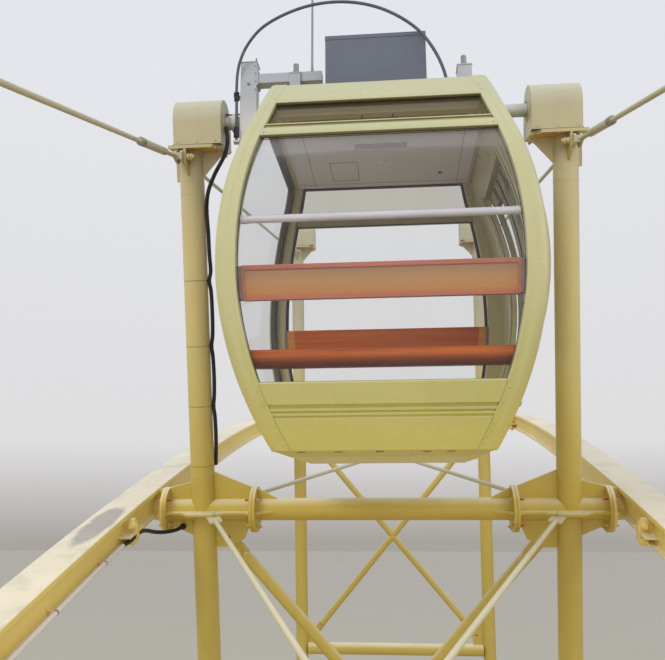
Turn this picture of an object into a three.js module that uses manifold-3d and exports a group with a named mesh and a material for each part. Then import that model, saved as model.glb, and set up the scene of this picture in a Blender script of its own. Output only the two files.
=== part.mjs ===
// A ferris wheel cabin hung between two leaning posts, with one bay of the wheel's frame in front
// of it and one behind. Millimetres, +Z up, +X to the right, +Y along the wheel from bay to bay.
import * as THREE from 'three';
import { mergeVertices } from 'three/addons/utils/BufferGeometryUtils.js';
import Module from 'manifold-3d';

const wasm = await Module();
wasm.setup();

// Wheel
const BAY_ANGLE = THREE.MathUtils.degToRad(7.01);
const BAY_PITCH = 5584;
const AXLE_CIRCLE = BAY_PITCH / (2 * Math.sin(BAY_ANGLE / 2));
const LEAN = THREE.MathUtils.degToRad(14.9);
const BAYS = [-1, 0, 1];
const GAP = 0.3;

// Post frame: x across the wheel, t along the rim, u outward from the hub, from the axle's centre
const POST_X = 1287;
const POST_RADIUS = 84;
const POST_SIDES = 20;
const CROSS_RADIUS = 77.5;
const CROSS_SIDES = 16;
const UPPER_U = -2731;
const LOWER_U = -5800;
const FOOT_U = -6105;
const FOOT_SIZE = 300;
const FOOT_THICK = 25;
const FLANGE_RADIUS = 160;
const FLANGE_THICK = 22;
const INNER_FLANGE_X = 912;
const OUTER_FLANGE_X = 1548;
const PLATE_THICK = 16;
const BASE_TOP_U = -168;
const BASE_THICK = 22;
const BASE_X = [1030, 1400];
const BASE_DEPTH = 360;

// Bearing housing
const HOUSING_X = [1036, 1366];
const HOUSING_RADIUS = 160;
const BORE_DEPTH = 110;
const AXLE_RADIUS = 44.5;
const BORE_RADIUS = 45.3;
const AXLE_SIDES = 32;

// Rim, tie rods and bracing
const RIM_X = [1607, 1842];
const RIM_U = [-2759, -2575];
const RIM_STEPS = 10;
const SPLICE_T = -620;
const TIE_X = 1340;
const TIE_U = -245;
const TIE_RADIUS = 15;
const PLAN_PLATE_U = -2723;
const PLAN_ROD_RADIUS = 15;
const BRACE_RADIUS = 42;
const BRACE_NODE_X = 1135;
const BRACE_NODE_U = [-2905, -5625];
const BRACE_PADDLE = 240;
const RIM_FRONT_END = 800;
const RIM_BACK_END = 350;
const SPLICE_HALF = 130;
const TIE_START = 190;
const TIE_EYE_T = [95, 215];
const TIE_SLEEVE_FROM = 210;
const TIE_SLEEVE = 470;
const TIE_SLEEVE_RADIUS = 24;
const PLAN_NODE_X = 1140;
const PLAN_NODE_T = 250;
const PADDLE_HALF = 85;
const PADDLE_THICK = 12;
const CONDUIT_RADIUS = 14;
const CONDUIT_X = -1592.7;
const CONDUIT_U = -2724;
const CONDUIT_STATIONS = [-0.972, -0.1504];
const RIM_HOSE_ROUTE = [
  [-1440, -8.6, -2850], [-1440, -30, -2850], [-1476, -112, -2850], [-1530, -200, -2835],
  [-1565, -300, -2800], [-1573, -400, -2760], [-1573, -500, -2732], [-1573, -620, -2722],
  [-1573, -725, -2726], [-1589.5, -768, -2730.4], [-1590.8, -785, -2731.1],
];
const CABLE_RADIUS = 14;
const CABLE_ROUTE = [
  [-1016, -78, -40], [-1006, -92, -90], [-1004, -112, -165], [-1026, -120, -240],
  [-1116, -106, -370], [-1184, -66, -480], [-1200.2, -46.3, -560], [-1200.2, -46.3, -640],
  [-1200.2, -46.3, -1500], [-1200.2, -46.3, -2420],
];

// Cabin shell: its place from the axle's centre, then levels measured within the shell
const SHELL_PLACE = [40, 0, 25];
const SHELL_TOP = -66;
const SHELL_BOTTOM = -2327;
const BELLY_Z = -1270;
const BELLY_HALF_WIDTH = 892;
const UPPER_SIDE_RADIUS = 2720;
const LOWER_SIDE_RADIUS = 2150;
const SHOULDER_Z = -400;
const SHOULDER_TAPER = 0.244;
const BELLY_HALF_DEPTH = 935;
const END_RADIUS = 2050;
const HOOP_BAND = 116;
const HOOP_BAND_TOP = 105;
const HOOP_DEPTH = 100;
const HOOP_CHAMFER = 18;
const LEVEL_STEP = 150;

// Cabin levels
const BAND_BOTTOM = -258;
const TRANSOM_Z = [-530, -439];
const SILL_Z = -1969;
const GROOVE_Z = [-2158, -2090];
const CEILING_Z = -260;
const CEILING_THICK = 22;
const FLOOR_Z = -2200;
const PAN_Z = -2380;
const SEAT_Z = [-1883, -1787];
const SEAT_Y = [400, 736, 790];
const BACK_Z = [-1530, -1333];
const RAIL_Z = -1064;
const RAIL_RADIUS = 20;
const DOOR_Z = [-2075, -500];
const DOOR_RUNNING_GAP = 0.5;
const DOOR_HALF = 350;
const DOOR_LAP = 15;
const DOOR_TRACK_HALF = 654;
const DOOR_SIDE_BULGE = 50;
const GLASS_INSET = 36;
const GLASS_THICK = 8;
const LEFT_WINDOW_Z = [-1960, -300];
const LEFT_WINDOW_MARGIN = 38;
const GROOVE_DEPTH = 12;
const PANEL_THICK = 44;
const SIDE_TOP = -100.3;
const SIDE_INSET = 20;
const SIDE_THICK = 40;
const DOOR_WALL_INSET = 28;
const DOOR_WALL_THICK = 32;
const DOOR_INSET = -8;
const DOOR_THICK = 28;
const ROOF_TOP = -75;
const ROOF_CONDUIT_RADIUS = 11;
const ROOF_CONDUIT_ROUTE = [
  [-943, -62, -162.6], [-943, -62, -60], [-947, -58, 80], [-951, -52, 190], [-951, -54, 270],
  [-943, -70, 350], [-922, -92, 425], [-868, -120, 525], [-750, -165, 630], [-480, -240, 705],
  [-200, -300, 692], [60, -340, 600], [290, -370, 420], [410, -385, 230], [470, -395, 40],
  [470, -395, -49.6],
];

const CREAM = 0xd9cf96;
const LIME = 0xd2cf98;
const WHITE = 0xc9cbcc;
const SLATE = 0x74777f;
const GLASS = 0xb9c4c8;
const TERRACOTTA = 0xb0685a;
const SEAT_ORANGE = 0xb4602f;
const CEILING_GREY = 0x969389;
const RAIL_GREY = 0xb0b0b6;
const BLACK = 0x26272a;

function solidOf(geometry) {
  const plain = geometry.index ? geometry.toNonIndexed() : geometry.clone();
  plain.deleteAttribute('normal');
  plain.deleteAttribute('uv');
  const merged = mergeVertices(plain, 1e-3);
  const mesh = new wasm.Mesh({
    numProp: 3,
    vertProperties: new Float32Array(merged.attributes.position.array),
    triVerts: new Uint32Array(merged.index.array),
  });
  return new wasm.Manifold(mesh);
}

function geometryOf(solid) {
  const mesh = solid.getMesh();
  const geometry = new THREE.BufferGeometry();
  geometry.setAttribute('position', new THREE.BufferAttribute(mesh.vertProperties, 3));
  geometry.setIndex(new THREE.BufferAttribute(mesh.triVerts, 1));
  geometry.computeVertexNormals();
  return geometry;
}

function join(geometries) {
  const solids = geometries.map(solidOf);
  return geometryOf(solids.reduce((sum, solid) => sum.add(solid)));
}

function cut(geometry, cutters) {
  const start = solidOf(geometry);
  return geometryOf(cutters.map(solidOf).reduce((rest, solid) => rest.subtract(solid), start));
}

function box(x, y, z) {
  const geometry = new THREE.BoxGeometry(x[1] - x[0], y[1] - y[0], z[1] - z[0]);
  return geometry.translate((x[0] + x[1]) / 2, (y[0] + y[1]) / 2, (z[0] + z[1]) / 2);
}

// A round bar between two points.
function bar(from, to, radius, sides) {
  const axis = new THREE.Vector3().subVectors(to, from);
  const geometry = new THREE.CylinderGeometry(radius, radius, axis.length(), sides);
  const up = new THREE.Vector3(0, 1, 0);
  const turn = new THREE.Quaternion().setFromUnitVectors(up, axis.clone().normalize());
  geometry.applyQuaternion(turn);
  return geometry.translate((from.x + to.x) / 2, (from.y + to.y) / 2, (from.z + to.z) / 2);
}

// A plate whose outline lies in the x-z plane, centred on y = 0.
function uprightPlate(outline, thick) {
  const shape = new THREE.Shape(outline.map(([x, z]) => new THREE.Vector2(x, z)));
  const geometry = new THREE.ExtrudeGeometry(shape, { depth: thick, bevelEnabled: false });
  return geometry.rotateX(Math.PI / 2).translate(0, thick / 2, 0);
}

// Closes a skin over rings that hold the same number of points.
function skin(rings) {
  const count = rings[0].length;
  const positions = rings.flat().flatMap((point) => [point.x, point.y, point.z]);
  const faces = [];
  for (let ring = 0; ring + 1 < rings.length; ring += 1) {
    for (let i = 0; i < count; i += 1) {
      const a = ring * count + i;
      const b = ring * count + ((i + 1) % count);
      faces.push(a, b, b + count, a, b + count, a + count);
    }
  }
  const last = (rings.length - 1) * count;
  for (let i = 1; i + 1 < count; i += 1) {
    faces.push(0, i + 1, i);
    faces.push(last, last + i, last + i + 1);
  }
  const geometry = new THREE.BufferGeometry();
  geometry.setAttribute('position', new THREE.Float32BufferAttribute(positions, 3));
  geometry.setIndex(facingOut(positions, faces));
  return geometry;
}

// Turns the faces over where their solid would be inside out.
function facingOut(positions, faces) {
  const corner = (i) => new THREE.Vector3().fromArray(positions, 3 * i);
  let volume = 0;
  for (let i = 0; i < faces.length; i += 3) {
    const [a, b, c] = faces.slice(i, i + 3).map(corner);
    volume += a.dot(b.cross(c));
  }
  return volume < 0 ? faces.reverse() : faces;
}

// A piece of the shell: its convex plan at each level, stacked from the lowest level up.
function loft(levels, planAt) {
  return skin(levels.map((z) => planAt(z).map(([x, y]) => new THREE.Vector3(x, y, z))));
}

function levelsBetween(low, high, step) {
  const count = Math.max(1, Math.round((high - low) / step));
  return Array.from({ length: count + 1 }, (_, i) => low + ((high - low) * i) / count);
}

function arcDrop(radius, offset) {
  return radius - Math.sqrt(radius * radius - offset * offset);
}

function sideCurve(z) {
  const rise = z - BELLY_Z;
  if (rise < 0) return BELLY_HALF_WIDTH - arcDrop(LOWER_SIDE_RADIUS, rise);
  if (z < SHOULDER_Z) return BELLY_HALF_WIDTH - arcDrop(UPPER_SIDE_RADIUS, rise);
  const shoulder = BELLY_HALF_WIDTH - arcDrop(UPPER_SIDE_RADIUS, SHOULDER_Z - BELLY_Z);
  return shoulder - SHOULDER_TAPER * (z - SHOULDER_Z);
}

function endCurve(z) {
  return BELLY_HALF_DEPTH - arcDrop(END_RADIUS, z - BELLY_Z);
}

function bandCurve(z) {
  const share = THREE.MathUtils.clamp((z - BELLY_Z) / (SHELL_TOP - BELLY_Z), 0, 1);
  return THREE.MathUtils.lerp(HOOP_BAND, HOOP_BAND_TOP, share);
}

// All pieces of the shell share one set of levels, and lie on straight facets between them.
const SHELL_LEVELS = levelsBetween(SHELL_BOTTOM, SHELL_TOP, LEVEL_STEP);

function onFacets(curve) {
  return (z) => {
    const above = Math.max(1, SHELL_LEVELS.findIndex((level) => level >= z));
    const [low, high] = SHELL_LEVELS.slice(above - 1, above + 1);
    return THREE.MathUtils.mapLinear(z, low, high, curve(low), curve(high));
  };
}

// The doorway's side swells out further than the hoops at mid height.
function doorSideBulge(z) {
  const middle = (DOOR_Z[0] + DOOR_Z[1]) / 2;
  const share = (2 * (z - middle)) / (DOOR_Z[1] - DOOR_Z[0]);
  return DOOR_SIDE_BULGE * Math.max(0, 1 - share * share);
}

const halfWidth = onFacets(sideCurve);
const halfDepth = onFacets(endCurve);
const hoopBand = onFacets(bandCurve);
const doorBulge = onFacets(doorSideBulge);

function shellLevels(low, high) {
  return [low, ...SHELL_LEVELS.filter((level) => level > low + 1 && level < high - 1), high];
}

function innerHalfWidth(z) {
  return halfWidth(z) - hoopBand(z);
}

function rectangle(x, y) {
  return [[x[0], y[0]], [x[1], y[0]], [x[1], y[1]], [x[0], y[1]]];
}

// A slab across one end of the cabin, set in from the end face.
function endSlab(side, levels, inset, thick, clearance = GAP) {
  return loft(levels, (z) => {
    const half = innerHalfWidth(z) - clearance;
    const outer = halfDepth(z) - inset;
    return rectangle([-half, half], [side * outer, side * (outer - thick)]);
  });
}

// A panel along one side of the cabin, set in from the side face.
function sidePanel(side, levels, inset, thick, yFrom, yTo) {
  return loft(levels, (z) => {
    const outer = halfWidth(z) - inset + (side > 0 ? doorBulge(z) : 0);
    return rectangle([side * outer, side * (outer - thick)], [yFrom(z), yTo(z)]);
  });
}

const root = new THREE.Group();
const wheel = new THREE.Group();
const footFromAxle = new THREE.Vector3(-POST_X, 0, FOOT_U).applyAxisAngle(
  new THREE.Vector3(1, 0, 0), LEAN);
wheel.position.copy(footFromAxle).negate();
root.add(wheel);

function addMesh(parent, name, geometry, color, roughness = 0.5, metalness = 0) {
  const material = new THREE.MeshStandardMaterial({ color, roughness, metalness });
  if (color === GLASS) {
    material.transparent = true;
    material.opacity = 0.35;
  }
  const mesh = new THREE.Mesh(geometry, material);
  mesh.name = name;
  parent.add(mesh);
  return mesh;
}

function leanOf(bay) {
  return LEAN - bay * BAY_ANGLE;
}

const hub = new THREE.Vector3(0, Math.sin(LEAN), -Math.cos(LEAN)).multiplyScalar(AXLE_CIRCLE);

function frameMatrix(bay) {
  const lean = leanOf(bay);
  const outward = new THREE.Vector3(0, -Math.sin(lean), Math.cos(lean));
  const place = hub.clone().addScaledVector(outward, AXLE_CIRCLE);
  return new THREE.Matrix4().makeRotationX(lean).setPosition(place);
}

function inFrame(bay, x, t, u) {
  return new THREE.Vector3(x, t, u).applyMatrix4(frameMatrix(bay));
}

function flange(x, side) {
  const inner = new THREE.Vector3(side * x, 0, UPPER_U);
  const outer = new THREE.Vector3(side * (x + FLANGE_THICK), 0, UPPER_U);
  return bar(inner, outer, FLANGE_RADIUS, CROSS_SIDES);
}

// The level plate through a post's stub arms, wider where the plan bracing is bolted to it.
function planOutline(from, to) {
  const front = [
    [from, -115], [1100, -118], [1190, -168], [1365, -168], [1430, -118], [to, -112],
  ];
  return [...front, ...front.map(([x, t]) => [x, -t]).reverse()];
}

// A level plate of the post frame, whose outline lies in the x-t plane.
function levelPlate(outline, side) {
  const shape = new THREE.Shape(outline.map(([x, t]) => new THREE.Vector2(side * x, t)));
  const geometry = new THREE.ExtrudeGeometry(shape, { depth: PLATE_THICK, bevelEnabled: false });
  return geometry.translate(0, 0, PLAN_PLATE_U - PLATE_THICK);
}

function mirrored(outline, side) {
  return outline.map(([x, z]) => [side * x, z]);
}

// A post with its foot, base plate, stub arms, flanges and gussets.
function postGeometry(side) {
  const baseBottom = BASE_TOP_U - BASE_THICK;
  const footTop = FOOT_U + FOOT_THICK;
  const innerStub = INNER_FLANGE_X + GAP / 2;
  const outerStub = OUTER_FLANGE_X - GAP / 2 - FLANGE_THICK;
  const tieGusset = [
    [-178, baseBottom + 2], [178, baseBottom + 2], [178, -285], [80, -365], [-80, -365], [-178, -285],
  ];
  const gussets = [
    [[1220, -2450], [1220, -2660], [innerStub + 5, -2660], [innerStub + 5, -2562]],
    [[1354, -2526], [1354, -2660], [outerStub + 15, -2660], [outerStub + 15, -2568]],
    [[1220, -2790], [1220, -3003], [1095, -3003], [995, -2942], [innerStub + 15, -2790]],
    [[1354, -2790], [1354, -2924], [outerStub - 5, -2850], [outerStub - 5, -2790]],
    [[1220, LOWER_U + 79], [1070, LOWER_U + 79], [1040, -5540], [1220, -5380]],
    [[1230, baseBottom + 2], [1230, -390], [1045, baseBottom + 2]],
    [[1365, baseBottom + 2], [1398, baseBottom + 2], [1394, -235], [1394, -390], [1365, -390]],
  ];
  const pieces = [
    bar(new THREE.Vector3(side * POST_X, 0, footTop - 1),
      new THREE.Vector3(side * POST_X, 0, baseBottom + 1), POST_RADIUS, POST_SIDES),
    box([side * POST_X - FOOT_SIZE / 2, side * POST_X + FOOT_SIZE / 2],
      [-FOOT_SIZE / 2, FOOT_SIZE / 2], [FOOT_U, footTop]),
    sideBox(side, BASE_X, [-BASE_DEPTH / 2, BASE_DEPTH / 2], [baseBottom, BASE_TOP_U]),
    bar(new THREE.Vector3(side * (innerStub + 5), 0, UPPER_U),
      new THREE.Vector3(side * (outerStub + 5), 0, UPPER_U), CROSS_RADIUS, CROSS_SIDES),
    flange(innerStub, side),
    flange(outerStub, side),
    levelPlate(planOutline(innerStub + 5, outerStub + 15), side),
    sidePlate(tieGusset, [side * (POST_X - PLATE_THICK / 2), side * (POST_X + PLATE_THICK / 2)]),
  ];
  for (const outline of gussets) pieces.push(uprightPlate(mirrored(outline, side), PLATE_THICK));
  return join(pieces);
}

function sideBox(side, x, y, z) {
  const ends = [side * x[0], side * x[1]].sort((a, b) => a - b);
  return box(ends, y, z);
}

// The bearing housing: a block with a round top.
function housingBlock(side, low) {
  const shape = new THREE.Shape();
  shape.moveTo(-HOUSING_RADIUS, low);
  shape.lineTo(HOUSING_RADIUS, low);
  shape.absarc(0, 0, HOUSING_RADIUS, 0, Math.PI, false);
  const width = HOUSING_X[1] - HOUSING_X[0];
  const block = new THREE.ExtrudeGeometry(shape, {
    depth: width, bevelEnabled: false, curveSegments: 14,
  });
  block.rotateX(Math.PI / 2).rotateZ(Math.PI / 2);
  return block.translate(side > 0 ? HOUSING_X[0] : -HOUSING_X[1], 0, 0);
}

// The cabin's housing, bored from its inner face for the axle.
function housingGeometry(side) {
  const mouth = new THREE.Vector3(side * (HOUSING_X[0] - 5), 0, 0);
  const end = new THREE.Vector3(side * (HOUSING_X[0] + BORE_DEPTH), 0, 0);
  const bore = bar(mouth, end, BORE_RADIUS, AXLE_SIDES);
  return cut(housingBlock(side, BASE_TOP_U + GAP), [bore]);
}

// The upper cross tube, flanged at both ends to the posts' stub arms.
function upperCrossGeometry() {
  const face = INNER_FLANGE_X - GAP / 2;
  const pieces = [
    bar(new THREE.Vector3(-face + 5, 0, UPPER_U), new THREE.Vector3(face - 5, 0, UPPER_U),
      CROSS_RADIUS, CROSS_SIDES),
  ];
  for (const side of [-1, 1]) {
    pieces.push(flange(face - FLANGE_THICK, side));
    const fin = [[face - 10, -2570], [face - 10, -2660], [735, -2660]];
    pieces.push(uprightPlate(mirrored(fin, side), PLATE_THICK));
    const web = [[face - 10, -115], [face - 10, 115], [720, 70], [720, -70]];
    pieces.push(levelPlate(web, side));
  }
  return join(pieces);
}

function lowerCrossGeometry() {
  const reach = POST_X - POST_RADIUS - GAP;
  return bar(new THREE.Vector3(-reach, 0, LOWER_U), new THREE.Vector3(reach, 0, LOWER_U),
    CROSS_RADIUS, CROSS_SIDES);
}

// Two tubes that cross in the frame's plane, lapped onto the gussets through flat ends.
function crossBraceGeometry() {
  const t = PLATE_THICK + GAP;
  const pieces = [];
  for (const side of [-1, 1]) {
    const top = new THREE.Vector3(side * BRACE_NODE_X, t, BRACE_NODE_U[0]);
    const bottom = new THREE.Vector3(-side * BRACE_NODE_X, t, BRACE_NODE_U[1]);
    const along = new THREE.Vector3().subVectors(bottom, top).normalize();
    const from = top.clone().addScaledVector(along, BRACE_PADDLE - 30);
    const to = bottom.clone().addScaledVector(along, 30 - BRACE_PADDLE);
    pieces.push(bar(from, to, BRACE_RADIUS, 12));
    for (const [end, way] of [[top, 1], [bottom, -1]]) {
      const half = BRACE_PADDLE / 2;
      const paddle = box([-45, 45], [-PLATE_THICK / 2, PLATE_THICK / 2], [-half, half]);
      paddle.rotateY(Math.atan2(along.x, along.z));
      const middle = end.clone().addScaledVector(along, way * half);
      pieces.push(paddle.translate(middle.x, middle.y, middle.z));
    }
  }
  return join(pieces);
}

// A plate whose outline lies in the t-u plane of a frame, between two x positions.
function sidePlate(outline, x) {
  const shape = new THREE.Shape(outline.map(([t, u]) => new THREE.Vector2(t, u)));
  const ends = [...x].sort((a, b) => a - b);
  const geometry = new THREE.ExtrudeGeometry(shape, {
    depth: ends[1] - ends[0], bevelEnabled: false,
  });
  return geometry.rotateX(Math.PI / 2).rotateZ(Math.PI / 2).translate(ends[0], 0, 0);
}

// The curved rim box of one side, with its stub arms, flanges and splice plates.
function rimGeometry(side) {
  const from = -1 - RIM_FRONT_END / BAY_PITCH;
  const to = 1 + RIM_BACK_END / BAY_PITCH;
  const rings = levelsBetween(from, to, 1 / RIM_STEPS).map((station) => (
    rectangle(RIM_X, RIM_U).map(([x, u]) => inFrame(station, side * x, 0, u))
  ));
  const pieces = [skin(rings)];
  const middleU = (RIM_U[0] + RIM_U[1]) / 2;
  const face = OUTER_FLANGE_X + GAP / 2;
  for (const bay of BAYS) {
    const arm = bar(new THREE.Vector3(side * (face + 5), 0, UPPER_U),
      new THREE.Vector3(side * (RIM_X[0] + 5), 0, UPPER_U), CROSS_RADIUS, CROSS_SIDES);
    const outline = [
      [-SPLICE_HALF, -45], [-SPLICE_HALF + 40, -82], [SPLICE_HALF - 40, -82], [SPLICE_HALF, -45],
      [SPLICE_HALF, 45], [SPLICE_HALF - 40, 82], [-SPLICE_HALF + 40, 82], [-SPLICE_HALF, 45],
    ];
    const plate = sidePlate(outline, [side * (RIM_X[0] - PLATE_THICK), side * (RIM_X[0] + 12)]);
    plate.translate(0, SPLICE_T, middleU);
    const fin = sideBox(side, [RIM_X[0] - 60, RIM_X[0] + 4],
      [SPLICE_T - SPLICE_HALF, SPLICE_T + SPLICE_HALF], [middleU - 6, middleU + 6]);
    const rib = [[face + 15, -2572], [RIM_X[0] + 5, -2588], [RIM_X[0] + 5, -2660], [face + 15, -2660]];
    const web = [[face + 15, -112], [face + 15, 112], [RIM_X[0] + 5, 98], [RIM_X[0] + 5, -98]];
    const ribs = [uprightPlate(mirrored(rib, side), PLATE_THICK), levelPlate(web, side)];
    for (const piece of [arm, flange(face, side), ...ribs, plate, fin]) {
      pieces.push(piece.applyMatrix4(frameMatrix(bay)));
    }
  }
  return join(pieces);
}

// A stay between the heads of two neighbouring posts, with an eye plate at each end.
function tieGeometry(bay, side) {
  const x = side * TIE_X;
  const start = inFrame(bay, x, TIE_START, TIE_U);
  const end = inFrame(bay + 1, x, -TIE_START, TIE_U);
  const along = new THREE.Vector3().subVectors(end, start).normalize();
  const sleeve = end.clone().addScaledVector(along, -TIE_SLEEVE_FROM);
  const sleeveEnd = sleeve.clone().addScaledVector(along, -TIE_SLEEVE);
  const pieces = [
    bar(start, end, TIE_RADIUS, 10),
    bar(sleeve, sleeveEnd, TIE_SLEEVE_RADIUS, 10),
  ];
  for (const [at, way] of [[bay, 1], [bay + 1, -1]]) {
    const reach = TIE_EYE_T.map((t) => way * t).sort((a, b) => a - b);
    const eyeX = [POST_X + PLATE_THICK / 2 + GAP, TIE_X + 12];
    const eye = sideBox(side, eyeX, reach, [TIE_U - 48, TIE_U + 48]);
    pieces.push(eye.applyMatrix4(frameMatrix(at)));
  }
  return join(pieces);
}

// Two rods that cross between the upper cross tubes of neighbouring frames.
function planBraceGeometry(bay) {
  const u = PLAN_PLATE_U - PLATE_THICK - GAP - PADDLE_THICK / 2;
  const swing = Math.atan2(2 * PLAN_NODE_X, BAY_PITCH - 2 * PLAN_NODE_T);
  const pieces = [];
  for (const side of [-1, 1]) {
    const start = inFrame(bay, side * PLAN_NODE_X, PLAN_NODE_T, u);
    const end = inFrame(bay + 1, -side * PLAN_NODE_X, -PLAN_NODE_T, u);
    pieces.push(bar(start, end, PLAN_ROD_RADIUS, 8));
    for (const [at, hand, way] of [[bay, side, 1], [bay + 1, -side, -1]]) {
      const paddle = box([-36, 36], [-PADDLE_HALF, PADDLE_HALF],
        [u - PADDLE_THICK / 2, u + PADDLE_THICK / 2]);
      paddle.rotateZ(side * swing);
      const inset = PADDLE_HALF - 20;
      paddle.translate(hand * (PLAN_NODE_X + inset * Math.sin(swing)),
        way * (PLAN_NODE_T - inset * Math.cos(swing)), 0);
      pieces.push(paddle.applyMatrix4(frameMatrix(at)));
    }
  }
  return join(pieces);
}

// A thin tube through hand-set points.
function hose(points, radius, sides, steps) {
  const curve = new THREE.CatmullRomCurve3(points.map((point) => new THREE.Vector3(...point)));
  const ring = new THREE.Shape();
  ring.absarc(0, 0, radius, 0, 2 * Math.PI, false);
  return new THREE.ExtrudeGeometry(ring, {
    steps, bevelEnabled: false, extrudePath: curve, curveSegments: sides / 2,
  });
}

function conduitGeometry() {
  const rings = levelsBetween(...CONDUIT_STATIONS, 1 / RIM_STEPS).map((station) => (
    Array.from({ length: 8 }, (_, i) => {
      const turn = (i * Math.PI) / 4;
      const x = CONDUIT_X + CONDUIT_RADIUS * Math.cos(turn);
      return inFrame(station, x, 0, CONDUIT_U + CONDUIT_RADIUS * Math.sin(turn));
    })
  ));
  return skin(rings);
}

for (const bay of BAYS) {
  const frame = new THREE.Group();
  frame.applyMatrix4(frameMatrix(bay));
  wheel.add(frame);
  const tag = ['front', 'middle', 'back'][bay + 1];
  for (const side of [-1, 1]) {
    const hand = side < 0 ? 'left' : 'right';
    const post = postGeometry(side);
    if (bay === 0) {
      addMesh(frame, `middle_post_${hand}`, post, CREAM);
      addMesh(frame, `housing_${hand}`, housingGeometry(side), CREAM);
    } else {
      const whole = join([post, housingBlock(side, BASE_TOP_U - 2)]);
      addMesh(frame, `${tag}_post_${hand}`, whole, CREAM);
    }
  }
  addMesh(frame, `${tag}_upper_cross_tube`, upperCrossGeometry(), CREAM);
  addMesh(frame, `${tag}_lower_cross_tube`, lowerCrossGeometry(), CREAM);
  addMesh(frame, `${tag}_cross_brace`, crossBraceGeometry(), CREAM);
  if (bay === 0) {
    addMesh(frame, 'post_cable', hose(CABLE_ROUTE, CABLE_RADIUS, 8, 36), BLACK);
    addMesh(frame, 'rim_hose', hose(RIM_HOSE_ROUTE, CONDUIT_RADIUS, 8, 12), BLACK);
  }
}
for (const side of [-1, 1]) {
  const hand = side < 0 ? 'left' : 'right';
  addMesh(wheel, `rim_${hand}`, rimGeometry(side), CREAM);
  for (const bay of [-1, 0]) {
    addMesh(wheel, `${bay < 0 ? 'front' : 'back'}_tie_rod_${hand}`, tieGeometry(bay, side), CREAM);
  }
}
addMesh(wheel, 'front_plan_brace', planBraceGeometry(-1), CREAM);
addMesh(wheel, 'back_plan_brace', planBraceGeometry(0), CREAM);
addMesh(wheel, 'rim_conduit', conduitGeometry(), WHITE);

// Cabin
function hoopGeometry(sideX, sideY) {
  return loft(SHELL_LEVELS, (z) => {
    const inner = sideX * innerHalfWidth(z);
    const outer = sideX * halfWidth(z);
    const face = sideY * halfDepth(z);
    const back = sideY * (halfDepth(z) - HOOP_DEPTH);
    const bevelX = sideX * (halfWidth(z) - HOOP_CHAMFER);
    const bevelY = sideY * (halfDepth(z) - HOOP_CHAMFER);
    return [[inner, face], [bevelX, face], [outer, bevelY], [outer, back], [inner, back]];
  });
}

// The panel under the end window, with a ribbed strip sunk into it.
function lowerPanelGeometry(side) {
  const step = 3;
  const levels = [
    ...shellLevels(SHELL_BOTTOM, GROOVE_Z[0]), GROOVE_Z[0] + step,
    GROOVE_Z[1] - step, ...shellLevels(GROOVE_Z[1], SILL_Z),
  ];
  return loft(levels, (z) => {
    const half = innerHalfWidth(z) - GAP;
    const sunk = z > GROOVE_Z[0] && z < GROOVE_Z[1] ? GROOVE_DEPTH : 0;
    const outer = halfDepth(z) - sunk;
    return rectangle([-half, half], [side * outer, side * (halfDepth(z) - PANEL_THICK)]);
  });
}

function hoopBack(z) {
  return halfDepth(z) - HOOP_DEPTH - GAP;
}

function leftWindow(inset, thick, clearance) {
  const edge = (z) => hoopBack(z) - LEFT_WINDOW_MARGIN - clearance;
  const levels = shellLevels(LEFT_WINDOW_Z[0] + clearance, LEFT_WINDOW_Z[1] - clearance);
  return sidePanel(-1, levels, inset, thick, (z) => -edge(z), edge);
}

function leftWallGeometry() {
  const levels = shellLevels(SHELL_BOTTOM, SIDE_TOP);
  const wall = sidePanel(-1, levels, SIDE_INSET, SIDE_THICK, (z) => -hoopBack(z), hoopBack);
  return cut(wall, [leftWindow(SIDE_INSET - 10, SIDE_THICK + 20, 0)]);
}

function rightWallGeometry() {
  const levels = shellLevels(SHELL_BOTTOM, SIDE_TOP);
  const wall = sidePanel(1, levels, DOOR_WALL_INSET, DOOR_WALL_THICK, (z) => -hoopBack(z), hoopBack);
  const doorway = box([500, 1000], [-DOOR_HALF, DOOR_HALF], [DOOR_Z[0] + 12, DOOR_Z[1] - 12]);
  const track = (z) => sidePanel(1, z, DOOR_INSET - 7, DOOR_WALL_INSET - DOOR_INSET + 9,
    () => -DOOR_TRACK_HALF, () => DOOR_TRACK_HALF);
  const low = track(shellLevels(DOOR_Z[0] - 24, DOOR_Z[0] - DOOR_RUNNING_GAP));
  const high = track(shellLevels(DOOR_Z[1] + DOOR_RUNNING_GAP, DOOR_Z[1] + 40));
  return join([cut(wall, [doorway]), low, high]);
}

function doorGeometry(side) {
  return sidePanel(1, shellLevels(...DOOR_Z), DOOR_INSET, DOOR_THICK,
    () => side * 0.5, () => side * (DOOR_HALF + DOOR_LAP));
}

function crossShape(wide, deep, z) {
  return join([box([-wide[0], wide[1]], [-deep[0], deep[0]], z),
    box([-wide[2], wide[2]], [-deep[1], deep[1]], z)]);
}

// The lining under the roof, let in between the walls, the hoops and the panes.
function ceilingGeometry() {
  const levels = shellLevels(CEILING_Z - CEILING_THICK, CEILING_Z);
  const between = loft(levels, (z) => {
    const left = halfWidth(z) - SIDE_INSET - SIDE_THICK - GAP;
    const right = halfWidth(z) - DOOR_WALL_INSET - DOOR_WALL_THICK - GAP;
    return rectangle([-left, right], [GAP - hoopBack(z), hoopBack(z) - GAP]);
  });
  const along = loft(levels, (z) => {
    const half = innerHalfWidth(z) - GAP;
    const reach = halfDepth(z) - GLASS_INSET - GLASS_THICK - GAP;
    return rectangle([-half, half], [-reach, reach]);
  });
  return join([between, along]);
}

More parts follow.
